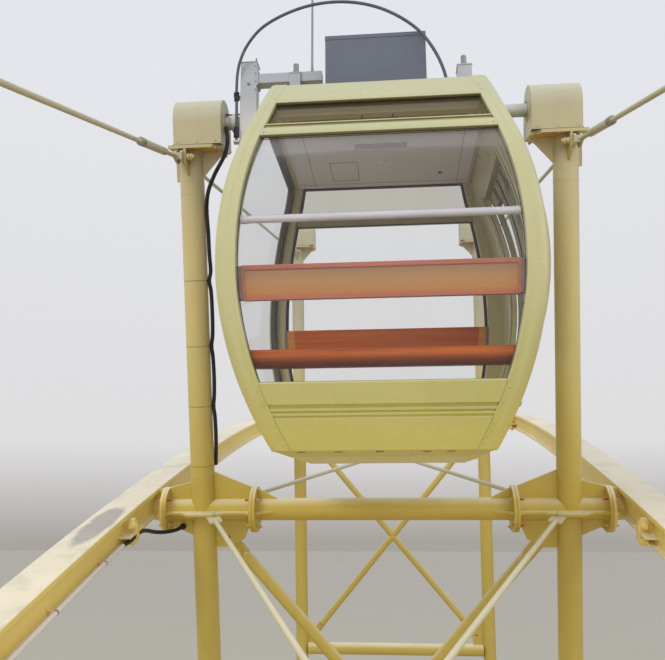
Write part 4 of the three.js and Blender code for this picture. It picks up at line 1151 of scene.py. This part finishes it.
def end_panes(end):
    kit = Kit(SHELL_AT)
    for slot, (low, high) in enumerate(((-1.968, -0.4415), (-0.4405, -0.259))):
        zs = levels(low, high, 0.08)
        near, far = PANE_INSET
        spanned(kit, end, [(z, near) for z in zs] + [(z, far) for z in reversed(zs)], slot)
    kit.make(f"{ENDS[end]}_panes", f"{ENDS[end]}_window_pane", "glass", [GLASS, TINTED], 0, 20)

    def place(a, z, depth):
        return (a, end * (end_at(z) - depth), z)

    kit = Kit(SHELL_AT)
    for low, high, wide, top in END_GASKETS[end]:
        outer = loop(low, high, mirrored(inner_at, 0.003), 0.004)
        inner = loop(low + 0.004, high - top, mirrored(inner_at, wide), 0.007)
        ringed(kit, outer, inner, place, (0.0444, 0.054), 1, 2)
    if end < 0:
        face = -end_at(CATCH_Z)
        for x in (-0.09, 0.09):
            block(kit, (x - 0.022, x + 0.022), (face + 0.047, face + 0.056), (-0.424, -0.408), 4)
            block(kit, (x - 0.006, x + 0.006), (face + 0.047, face + 0.06), (-0.424, -0.385), 4)
    shell(kit, ENDS[end] + "_gaskets", None, 0.0012, 30)


def rounded(low_z, high_z, y0, y1, radius):
    """A rounded section in y and z."""
    points = []
    for cy, cz, start in ((y1 - radius, low_z + radius, -90), (y1 - radius, high_z - radius, 0),
                          (y0 + radius, high_z - radius, 90), (y0 + radius, low_z + radius, 180)):
        for i in range(6):
            a = math.radians(start + 18 * i)
            points.append((cy + radius * math.cos(a), cz + radius * math.sin(a)))
    return points


BENCH_Z = (-1.883, -1.787)
BENCH_SPLIT_Y = 0.735


def seat(end):
    """A lacquered bench with rounded edges, whose underside rises towards the cabin's middle."""
    kit = Kit(SHELL_AT)

    def left_of(y, z):
        return -(inner_at(z) - CLEAR) if y > BENCH_SPLIT_Y else -(side_at(z) - 0.0605)

    def right_of(y, z):
        return inner_at(z) - CLEAR if y > BENCH_SPLIT_Y else door_side(z) - 0.0605

    low, high = BENCH_Z
    outline = [(y, z) for y, z in rounded(low + 0.046, high, 0.4, 0.736, 0.022) if y < 0.6]
    outline += [(0.7345, low + 0.003), (0.7345, high)]
    skin(kit, [[(reach(y, z), end * y, z) for y, z in outline] for reach in (left_of, right_of)])
    top = [(y, z) for y, z in rounded(low, high, BENCH_SPLIT_Y, 0.79, 0.018) if y > 0.76 and z > -1.82]
    outline = [(0.758, low), (0.766, low + 0.003), (0.788, low + 0.038), (0.79, low + 0.044)] + top
    outline += [(0.7347, high), (0.7347, low + 0.003)]
    skin(kit, [[(way * (inner_at(z) - CLEAR), end * y, z) for y, z in outline] for way in SIDES])
    kit.make(ENDS[end] + "_bench_board", ENDS[end] + "_bench", "orange_seat", [BENCH], 0, 40)


def backrest(end):
    """A board with a raised rim round a paler panel, on both faces, and grey end brackets."""
    kit = Kit(SHELL_AT)

    def place(a, z, depth):
        return (a, end * depth, z)

    def between(far, near):
        return lambda z: inner_at(z) - far, lambda z: inner_at(z) - near

    low, high = -1.53, -1.333
    outer = loop(low, high, mirrored(inner_at, 0.021), 0.004)
    inner = loop(low + 0.014, high - 0.026, mirrored(inner_at, 0.038), 0.003)
    ringed(kit, outer, inner, place, (0.8375, 0.8675), 0, 3)
    sheeted(kit, low + 0.012, high - 0.024, mirrored(inner_at, 0.036), place, (0.846, 0.861), 1)
    sheeted(kit, low + 0.0005, high - 0.0005, mirrored(inner_at, 0.0215), place, (0.8368, 0.8375), 4)
    for side in SIDES:
        half = Kit(SHELL_AT, side)
        sheeted(half, low + 0.004, high - 0.004, between(0.02, 0.0005), place, (0.8362, 0.8678), 2)
        sheeted(half, low + 0.0005, high - 0.0005, between(0.075, 0.022), place, (0.836, 0.8368), 5)
        for z in (low + 0.045, high - 0.045):
            rivet(half, (inner_at(z) - 0.01, end * 0.8678, z), (0, end, 0), 0.004, 3)
        kit.merge(half)
    kit.make(ENDS[end] + "_backrest_board", ENDS[end] + "_backrest", "terracotta_back",
             [BACK_RIM, BACK_FACE, GREY, STEEL, SEAT, BACK_OCHRE], 0.002, 30)


def guard_rail(end):
    kit = Kit(SHELL_AT)
    half = inner_at(RAIL_Z + 0.015) - CLEAR
    y = end * RAIL_Y
    rod(kit, (0.002 - half, y, RAIL_Z), (half - 0.002, y, RAIL_Z), RAIL_RADIUS, 32)
    for side in SIDES:
        turned(kit, (side * half, y, RAIL_Z), (-side, 0, 0),
               [(0, 0.0238), (0.003, 0.0243), (0.04, 0.024), (0.044, 0.0221)], 28)
    kit.make(ENDS[end] + "_rail_tube", ENDS[end] + "_guard_rail", "rail_steel", [RAIL])


for end in ENDS:
    for side in SIDES:
        hoop(end, side)
    for build in (end_face, end_panes, seat, backrest, guard_rail):
        build(end)


WALL_TOP = -0.1005
SHARP = 0.0004
ARC_POINTS = 26


def wall_edge(inset=0.038):
    """The left window's upright edges, so far in from the hoops."""
    return mirrored(hoop_back, inset)


def left_side():
    def place(a, z, depth):
        return (depth - side_at(z), a, z)

    kit = Kit(SHELL_AT)
    outer = loop(SHELL_BOTTOM, WALL_TOP, wall_edge(0), SHARP, ARC_POINTS)
    opening = loop(-1.96, -0.3, wall_edge(), 0.055, ARC_POINTS)
    lining = loop(-1.995, -0.284, wall_edge(0.018), 0.06, ARC_POINTS)
    ringed(kit, outer, opening, place, (0.02, 0.06))
    ringed(kit, lining, opening, place, (0.0602, 0.063), 2, 2)
    shell(kit, "left_wall_shell", "left_wall")
    kit = Kit(SHELL_AT)
    sheeted(kit, -1.959, -0.301, wall_edge(0.039), place, PANE_INSET)
    kit.make("left_window_glass", "left_window_pane", "glass", [GLASS], 0, 20)
    kit = Kit(SHELL_AT)
    outer = loop(-1.962, -0.298, wall_edge(0.036), 0.055, ARC_POINTS)
    inner = loop(-1.947, -0.313, wall_edge(0.053), 0.042, ARC_POINTS)
    for depths in ((0.0445, 0.0665), (0.018, 0.0355)):
        ringed(kit, outer, inner, place, depths, 1, 3)
    shell(kit, "left_window_gasket", None, 0.0015)


def right_place(a, z, depth):
    return (door_side(z) - depth, a, z)


def right_side():
    """The wall with the doorway, ribs and seals inside it, and the doors' two tracks outside."""
    kit = Kit(SHELL_AT)
    outer = loop(SHELL_BOTTOM, WALL_TOP, wall_edge(0), SHARP, ARC_POINTS)
    opening = loop(-2.063, -0.512, fixed(-0.35, 0.35), 0.03, ARC_POINTS)
    ringed(kit, outer, opening, right_place, (0.028, 0.06))
    for way in SIDES:
        for near, far, thick, slot in ((0.356, 0.368, 0.007, 5), (0.378, 0.4, 0.005, 2),
                                       (0.408, 0.414, 0.004, 5), (0.44, 0.47, 0.006, 2)):
            sheeted(kit, -2.05, -0.5, fixed(way * near, way * far), right_place, (0.0601, 0.0601 + thick),
                    slot)
    for low, high in ((-2.099, -2.0755), (-0.4995, -0.46)):
        sheeted(kit, low, high, fixed(-0.654, 0.654), right_place, (-0.015, 0.0285), 0, 0.02)
        for y in (-0.58, -0.4, -0.2, 0, 0.2, 0.4, 0.58):
            rivet(kit, right_place(y, (low + high) / 2, -0.015), (1, 0, 0), 0.0055, 3)
    shell(kit, "right_wall_shell", "right_wall")


LEAF_Y, GLASS_Y = (0.0005, 0.365), (0.09, 0.3)
DRAIN_X = (-0.45, -0.245, -0.02, 0.235, 0.365)


def door_leaf(way):
    """A sliding leaf: outer shell, glass in a rubber frame, solid foot panel with slots, hanger. The slots
    are dark strips on both faces, painted shade for the openings.
    """
    kit = Kit(SHELL_AT)

    def edges(near, far, grow=0.0):
        low, high = sorted((way * near, way * far))
        return fixed(low - grow, high + grow)

    low, high = DOOR_Z
    outer = loop(low, high, edges(*LEAF_Y), 0.004, 24)
    opening = loop(DOOR_LOW_GLASS, DOOR_TOP_GLASS, edges(*GLASS_Y), 0.03, 24)
    ringed(kit, outer, opening, right_place, (-0.0078, 0.0195), 0, 6)
    rim_in = loop(DOOR_LOW_GLASS + 0.01, DOOR_TOP_GLASS - 0.01, edges(*GLASS_Y, -0.01), 0.024, 24)
    rim_out = loop(DOOR_LOW_GLASS - 0.004, DOOR_TOP_GLASS + 0.004, edges(*GLASS_Y, 0.004), 0.032, 24)
    for depths in ((-0.0085, 0.0026), (0.0094, 0.0204)):
        ringed(kit, rim_out, rim_in, right_place, depths, 5, 2)
    # The foot panel's slots: dark strips on both faces, painted shade for the openings.
    for row in range(4):
        z = -1.78 - row * 0.034
        for depths in ((0.0192, 0.0204), (-0.0086, -0.007)):
            sheeted(kit, z - 0.007, z + 0.007, edges(0.13, 0.262), right_place, depths, 4, 0.02)
    for a, half, slot in ((0.012, 0.009, 1), (0.06, 0.002, 5), (0.33, 0.002, 5)):
        for depths in ((0.0194, 0.0222), (-0.0092, -0.0076)):
            sheeted(kit, low + 0.02, high - 0.02, edges(a - half, a + half), right_place, depths, slot)
    sheeted(kit, -0.6, -0.52, edges(0.12, 0.18), right_place, (0.0196, 0.0228), 4, 0.02)
    body = "door_leaf_" + ENDS[way]
    kit.make(f"door_{ENDS[way]}_shell", body, "lime_shell", SHELL_PAINTS, 0.0012, 40, body)
    pane = Kit(SHELL_AT)
    sheeted(pane, DOOR_LOW_GLASS + 0.001, DOOR_TOP_GLASS - 0.001, edges(*GLASS_Y, -0.001), right_place,
            (0.0032, 0.0088))
    pane.make(f"door_{ENDS[way]}_glass", None, None, [GLASS], 0, 20, body)


left_side()
right_side()
for way in SIDES:
    door_leaf(way)


# Roof, ceiling and floor
def notched(left, right, half, back, reach):
    """A plan between the side walls whose ends reach further out between the hoops."""
    return [(-left, -back), (-half, -back), (-half, -reach), (half, -reach), (half, -back), (right, -back),
            (right, back), (half, back), (half, reach), (-half, reach), (-half, back), (-left, back)]


def roof():
    kit = Kit(SHELL_AT)
    flat(kit, notched(0.642, 0.642, 0.548, 0.449, 0.5097), -0.1, -0.0755)
    for y in (-0.4, 0.4):
        block(kit, (-0.5, 0.5), (y - 0.01, y + 0.01), (-0.0757, -0.0685))
    for x in (-0.5, -0.25, 0.0, 0.25, 0.5):
        for y in (-0.48, 0.48):
            rivet(kit, (x, y, -0.0757), (0, 0, 1), 0.006, 3)
    shell(kit, "roof_deck", "roof")


CEILING_Z = (-0.282, -0.2605)
# Small round fittings on the ceiling: place, drop below it, steps and paint.
CEILING_ROUNDS = ((0.015, 0.165, -0.0005, [(0, 0.036), (0.004, 0.035), (0.007, 0.03)], 28, 0),
                  (0.015, 0.165, 0.0055, [(0, 0.027), (0.004, 0.025), (0.007, 0.014)], 28, 3),
                  (0.422, 0.376, -0.0005, [(0, 0.016), (0.006, 0.015), (0.008, 0.01)], 18, 4))


def ceiling():
    """The lining with its seams, vent, hatch and lamp, and a dropped strip at the near end."""
    kit = Kit(SHELL_AT)
    low, high = CEILING_Z
    reach = end_at(-0.27) - 0.089
    back = hoop_back(low) - 0.0008
    left, right = side_at(low) - 0.0607, door_side(low) - 0.0607
    half = inner_at(low) - 0.0008
    flat(kit, notched(left, right, half, back, reach), low, high)
    seam = (low - 0.0012, low + 0.0005)
    for y in (-0.52, 0.52):
        block(kit, (0.02 - left, right - 0.02), (y - 0.002, y + 0.002), seam, 1)
    for x in (-0.5, 0.55):
        block(kit, (x - 0.002, x + 0.002), (0.02 - back, back - 0.02), seam, 1)
    for x in (0.004 - left, right - 0.03):
        block(kit, (x, x + 0.026), (0.004 - back, back - 0.004), (low - 0.01, low + 0.0005), 2)
    block(kit, (-0.2, 0.215), (-0.155, -0.04), (low - 0.004, low + 0.0005))
    for y in (-0.128, -0.1125, -0.097, -0.0815, -0.066):
        block(kit, (-0.165, 0.18), (y - 0.004, y + 0.004), (low - 0.0065, low - 0.0035), 1)
    hatch = [(x - 0.263, y + 0.3045) for x, y in rectangle(0.099, 0.1575)]
    inner = [(x - 0.263, y + 0.3045) for x, y in rectangle(0.095, 0.1535)]
    flat(kit, hatch, low - 0.0025, low + 0.0005, 1, [inner])
    far, near = 0.012 - reach, 0.236 - reach
    well = []
    for cx, cy, first in ((half - 0.085, far + 0.085, -90), (half - 0.085, near - 0.085, 0),
                          (0.085 - half, near - 0.085, 90), (0.085 - half, far + 0.085, 180)):
        well += circle(0.03, 20, (cx, cy), first)[:6]
    strip = [(0.012 - half, far), (half - 0.012, far), (half - 0.012, near), (0.012 - half, near)]
    flat(kit, strip, low - 0.022, low + 0.0005, 2, [well])
    # The well's brown floor is painted shade in the recess.
    flat(kit, well, low - 0.003, low + 0.0004, 5)
    for x, y, below, steps, sides, slot in CEILING_ROUNDS:
        turned(kit, (x, y, low - below), (0, 0, -1), steps, sides, slot)
    kit.make("ceiling_lining", "ceiling", "ceiling_panel", [CEILING, GREY, LIME_INSIDE, LAMP, DARK, BROWN],
             0.001, 40)


TRAY_LOW, TRAY_HIGH = (0.53, 0.545, -2.352), (0.6, 0.628, -2.3273)


def floor_pan():
    """The tray under the floor. Its sloped skirt has a row of drain slots at each end, drawn as dark plates
    that are painted shade for the open slots.
    """
    kit = Kit(SHELL_AT)
    skin(kit, [[(a, b, z) for a, b in rectangle(x, y)] for x, y, z in (TRAY_LOW, TRAY_HIGH)])
    flat(kit, rectangle(0.523, 0.568), -2.24, -2.2, 1)
    flat(kit, rectangle(0.49, 0.53), -2.3275, -2.2395, 2)
    rise, out = TRAY_HIGH[2] - TRAY_LOW[2], TRAY_HIGH[1] - TRAY_LOW[1]
    for end in SIDES:
        normal = Vector((0, end * rise, -out)).normalized()
        run = Vector((0, end * out, rise)).normalized()
        # The drain slots are dark plates: painted shade for the open slots.
        for x in DRAIN_X:
            centre = Vector((x, end * TRAY_LOW[1], TRAY_LOW[2])) + run * 0.068 - normal * 0.002
            prism(kit, rectangle(0.022, 0.0055),
                  lambda a, b, c: centre + Vector((a, 0, 0)) + run * b + normal * c, 0.0032, 3)
    kit.make("floor_tray", "floor_pan", "lime_shell", [LIME, GREY, LIME_INSIDE, DARK], 0.002, 40)


# Hanger and roof gear
ARM_X = (-0.926, -0.812)
FOOT_TOP = ROOF_UPPER + 0.012
AXLE_HALF, AXLE_RADIUS = 1.136, 0.0445
COOLER_X, COOLER_Y = (-0.304, 0.354), (-0.318, -0.058)


def tower(kit, middle, half, top):
    """A bearing tower on the roof: foot plate, box, lid, fins and the big adjusting bolt."""
    block(kit, (middle - half, middle + half), (-0.055, 0.055), (ROOF_UPPER, top))
    block(kit, (middle - half - 0.022, middle + half + 0.022), (-0.075, 0.075), (ROOF_UPPER, FOOT_TOP))
    for sx in (-half - 0.01, half + 0.01):
        for y in (-0.064, 0.064):
            bolt(kit, (middle + sx, y, FOOT_TOP), (0, 0, 1), 0.0075, 1)
    block(kit, (middle - half - 0.004, middle + half + 0.004), (-0.059, 0.059), (top - 0.002, top + 0.006))
    for above, steps, sides, slot in ((0.006, [(0, 0.034), (0.005, 0.034), (0.0055, 0.032)], 24, 0),
                                      (0.0115, [(0, 0.031), (0.024, 0.031), (0.027, 0.027)], 6, 1),
                                      (0.036, [(0, 0.0195), (0.058, 0.0195), (0.061, 0.017)], 20, 1)):
        turned(kit, (middle, 0, top + above), (0, 0, 1), steps, sides, slot)
    for way in SIDES:
        sideways(kit, [(way * 0.055, FOOT_TOP), (way * 0.092, FOOT_TOP), (way * 0.055, 0.07)],
                 middle - 0.005, 0.01)


def hanger():
    kit = Kit(CABIN_AT)
    rod(kit, (-AXLE_HALF, 0, 0), (AXLE_HALF, 0, 0), AXLE_RADIUS, 56, 0.003)
    for side in SIDES:
        turned(kit, (side * 1.022, 0, 0), (side, 0, 0), [(0, 0.0452), (0.004, 0.0452)], 48)
    turned(kit, (-0.985, 0, 0), (1, 0, 0), [(0, 0.061), (0.003, 0.064), (0.034, 0.064), (0.037, 0.061)], 48)
    for y, z in circle(0.054, 4, turn=45):
        rivet(kit, (-0.985, y, z), (-1, 0, 0), 0.006, 1)
    block(kit, ARM_X, (-0.05, 0.05), (-0.175, 0.438))
    block(kit, (ARM_X[0] - 0.004, ARM_X[1] + 0.004), (-0.054, 0.054), (0.438, 0.443))
    for way in SIDES:
        bolt(kit, (-0.868, way * 0.05, 0.27), (0, way, 0), 0.01, 1)
        for z in (0.225, 0.29, 0.35, 0.405):
            bolt(kit, (-0.822, way * 0.05, z), (0, way, 0), 0.0055, 1, washer=False)
        for z in (0.27, 0.359):
            bolt(kit, (-0.802, way * 0.036, z), (1, 0, 0), 0.006, 1, washer=False)
    rod(kit, (-0.82, -0.03, 0.442), (-0.82, -0.03, 0.478), 0.006, 12, 0.0015, 1)
    for middle, half, top in ((-0.541, 0.037, 0.335), (0.626, 0.048, 0.332)):
        tower(kit, middle, half, top)
    rod(kit, (-0.427, 0, 0.345), (-0.427, 0, 1.25), 0.0078, 16, 0.003, 1)
    turned(kit, (-0.427, 0, 0.349), (0, 0, 1), [(0, 0.018), (0.012, 0.018), (0.014, 0.012), (0.04, 0.0105)],
           20, 1)
    for x, y, z in (((-0.816, -0.354), (-0.04, 0.04), (0.279, 0.35)),
                    ((-0.8125, -0.802), (-0.048, 0.048), (0.262, 0.367)),
                    ((-0.974, -0.924), (-0.034, 0.01), (0.182, 0.194)),
                    ((-0.93, -0.925), (-0.034, 0.01), (0.15, 0.194)),
                    ((-0.962, -0.924), (-0.078, -0.03), (-0.175, -0.163))):
        block(kit, x, y, z)
    kit.make("hanger_steelwork", "hanger_and_axle", "white_steel", [WHITE, STEEL], 0.002)


def cooling_unit():
    """A sheet-metal box with a lid, screwed seams, a louvred side and feet."""
    kit = Kit(CABIN_AT)
    (x0, x1), (y0, y1) = COOLER_X, COOLER_Y
    middle_x, middle_y, half_x, half_y = (x0 + x1) / 2, (y0 + y1) / 2, (x1 - x0) / 2, (y1 - y0) / 2
    for low, high, grow in ((-0.026, 0.398, 0), (0.3995, 0.4275, 0.002)):
        x, y, cut = half_x + grow, half_y + grow, 0.004
        outline = [(cut - x, -y), (x - cut, -y), (x, cut - y), (x, y - cut),
                   (x - cut, y), (cut - x, y), (-x, y - cut), (-x, cut - y)]
        flat(kit, [(middle_x + a, middle_y + b) for a, b in outline], low, high)
    block(kit, (x0 + 0.004, x1 - 0.004), (y0 + 0.004, y1 - 0.004), (0.3975, 0.4), 1)
    for x in (x0 + 0.05, x1 - 0.05):
        for y in (y0 + 0.03, y1 - 0.03):
            block(kit, (x - 0.035, x + 0.035), (y - 0.022, y + 0.022), (ROOF_UPPER, -0.0258), 1)
    for x in (x0 + 0.014, 0.025, x1 - 0.014):
        for z in (-0.01, 0.18, 0.375):
            rivet(kit, (x, y0, z), (0, -1, 0), 0.0045, 2)
            rivet(kit, (x, y1, z), (0, 1, 0), 0.0045, 2)
    for i in range(11):
        z = 0.02 + i * 0.031
        for x, way in ((x0, -1), (x1, 1)):
            fold = [(x, z), (x, z - 0.014), (x + way * 0.0016, z - 0.014), (x + way * 0.0018, z - 0.011)]
            prism(kit, fold if way < 0 else fold[:1] + fold[:0:-1],
                  lambda a, b, c: (a, y0 + 0.04 + c, b), 0.18)
    for i in range(12):
        x = x0 + 0.06 + i * 0.048
        block(kit, (x, x + 0.03), (y1 - 0.0005, y1 + 0.0018), (0.08, 0.33), 1)
    kit.make("cooling_unit_case", "cooling_unit", "slate_housing", [SLATE, DARK, STEEL], 0.0015)


ROOF_CONDUIT_ROUTE = [(-0.943, -0.062, -0.1626), (-0.943, -0.062, -0.06), (-0.947, -0.058, 0.08),
                      (-0.951, -0.052, 0.19),
                      (-0.951, -0.054, 0.27), (-0.943, -0.07, 0.35), (-0.922, -0.092, 0.425),
                      (-0.868, -0.12, 0.525),
                      (-0.75, -0.165, 0.63), (-0.48, -0.24, 0.705), (-0.2, -0.3, 0.692), (0.06, -0.34, 0.6),
                      (0.29, -0.37, 0.42), (0.41, -0.385, 0.23), (0.47, -0.395, 0.04),
                      (0.47, -0.395, -0.0496)]
CLAMP_ROUTE = [(-1.024, -0.03, 0.06), (-1.024, -0.03, 0.0535), (-1.018, -0.03, 0.051),
               (-0.9265, -0.03, 0.051)]


def roof_conduit():
    """The ribbed hose over the roof, with a smooth boot, a gland in the bracket and a flanged foot."""
    kit = Kit(CABIN_AT)
    count = 460
    pipe(kit, curve_points(ROOF_CONDUIT_ROUTE, count), 0.011, 14, 0, ribbed(count, 0.0103, 0.0007, 3))
    turned(kit, (-0.943, -0.062, -0.14), (0, 0, 1),
           [(0, 0.013), (0.006, 0.019), (0.072, 0.019), (0.082, 0.013)], 22, 3)
    low, high = Vector((-0.9495, -0.055, 0.138)), Vector((-0.951, -0.052, 0.21))
    way = (high - low).normalized()
    turned(kit, low, way, [(0, 0.013), (0.004, 0.017), (0.036, 0.017), (0.04, 0.021), (0.044, 0.021)], 22,
           3)
    turned(kit, low + way * 0.0565, way, [(0, 0.02), (0.002, 0.021), (0.01, 0.021), (0.012, 0.013)], 6, 1)
    pipe(kit, CLAMP_ROUTE, 0.0055, 10, 3)
    turned(kit, (0.47, -0.395, -0.0496), (0, 0, 1),
           [(0, 0.026), (0.003, 0.027), (0.016, 0.022), (0.034, 0.014)], 20, 1)
    kit.make("roof_conduit_hose", "roof_conduit", "black_rubber", [HOSE_GREY, DARK, STEEL, BLACK])


for build in (roof, ceiling, floor_pan, hanger, cooling_unit, roof_conduit):
    build()


# Floor, light and sky
FLOOR_HALF = 60
SKY_STOPS = ((0.0, (0.3, 0.27, 0.22, 1)), (0.47, (0.42, 0.4, 0.37, 1)), (0.53, (0.8, 0.79, 0.8, 1)),
             (0.75, (0.84, 0.86, 0.9, 1)), (1.0, (0.78, 0.87, 1.0, 1)))
SKY_STRENGTH = 0.92
# Name, place, target, size in metres, power in watts.
LAMPS = (("key", (-9, -14, 16), (0, 0, 5.5), 9, 1500), ("fill", (13, -9, 9), (0, 0, 5.0), 10, 500),
         ("front", (1.3, -15, 4.2), (1.3, 0, 5.0), 8, 250))


def studio_floor():
    mesh = bpy.data.meshes.new("studio_floor")
    corners = [(x, y, CAD_BOX[0][2]) for x, y in rectangle(FLOOR_HALF, FLOOR_HALF)]
    mesh.from_pydata(corners, [], [[0, 1, 2, 3]])
    floor = bpy.data.objects.new("studio_floor", mesh)
    bpy.context.collection.objects.link(floor)
    paint = Paint("studio_floor")
    paint.surface(paint.mix(paint.noise(0.35, 3), (0.52, 0.47, 0.38, 1), (0.55, 0.5, 0.41, 1)), 0.85)
    mesh.materials.append(paint.material)


def sky():
    world = bpy.data.worlds.new("sky")
    bpy.context.scene.world = world
    world.use_nodes = True
    tree = world.node_tree
    back = tree.nodes["Background"]
    coords, split, scale, ramp = (tree.nodes.new("ShaderNode" + kind)
                                  for kind in ("TexCoord", "SeparateXYZ", "MapRange", "ValToRGB"))
    stops = ramp.color_ramp.elements
    stops[0].color, stops[1].color = SKY_STOPS[0][1], SKY_STOPS[-1][1]
    for at, color in SKY_STOPS[1:-1]:
        stops.new(at).color = color
    scale.inputs["From Min"].default_value = -1
    tree.links.new(coords.outputs["Generated"], split.inputs[0])
    tree.links.new(split.outputs["Z"], scale.inputs["Value"])
    tree.links.new(scale.outputs["Result"], ramp.inputs[0])
    tree.links.new(ramp.outputs[0], back.inputs[0])
    back.inputs["Strength"].default_value = SKY_STRENGTH


def lights():
    for name, place, target, size, power in LAMPS:
        data = bpy.data.lights.new(name, "AREA")
        data.size = size
        data.energy = power
        lamp = bpy.data.objects.new(name, data)
        lamp.visible_glossy = name == "fill"
        bpy.context.collection.objects.link(lamp)
        turn = (Vector(target) - Vector(place)).to_track_quat("-Z", "Y").to_matrix().to_4x4()
        lamp.matrix_world = Matrix.Translation(Vector(place)) @ turn


studio_floor()
sky()
lights()
view = bpy.context.scene.view_settings
view.view_transform = "Standard"
view.look = "None"
view.exposure = 0
view.gamma = 1
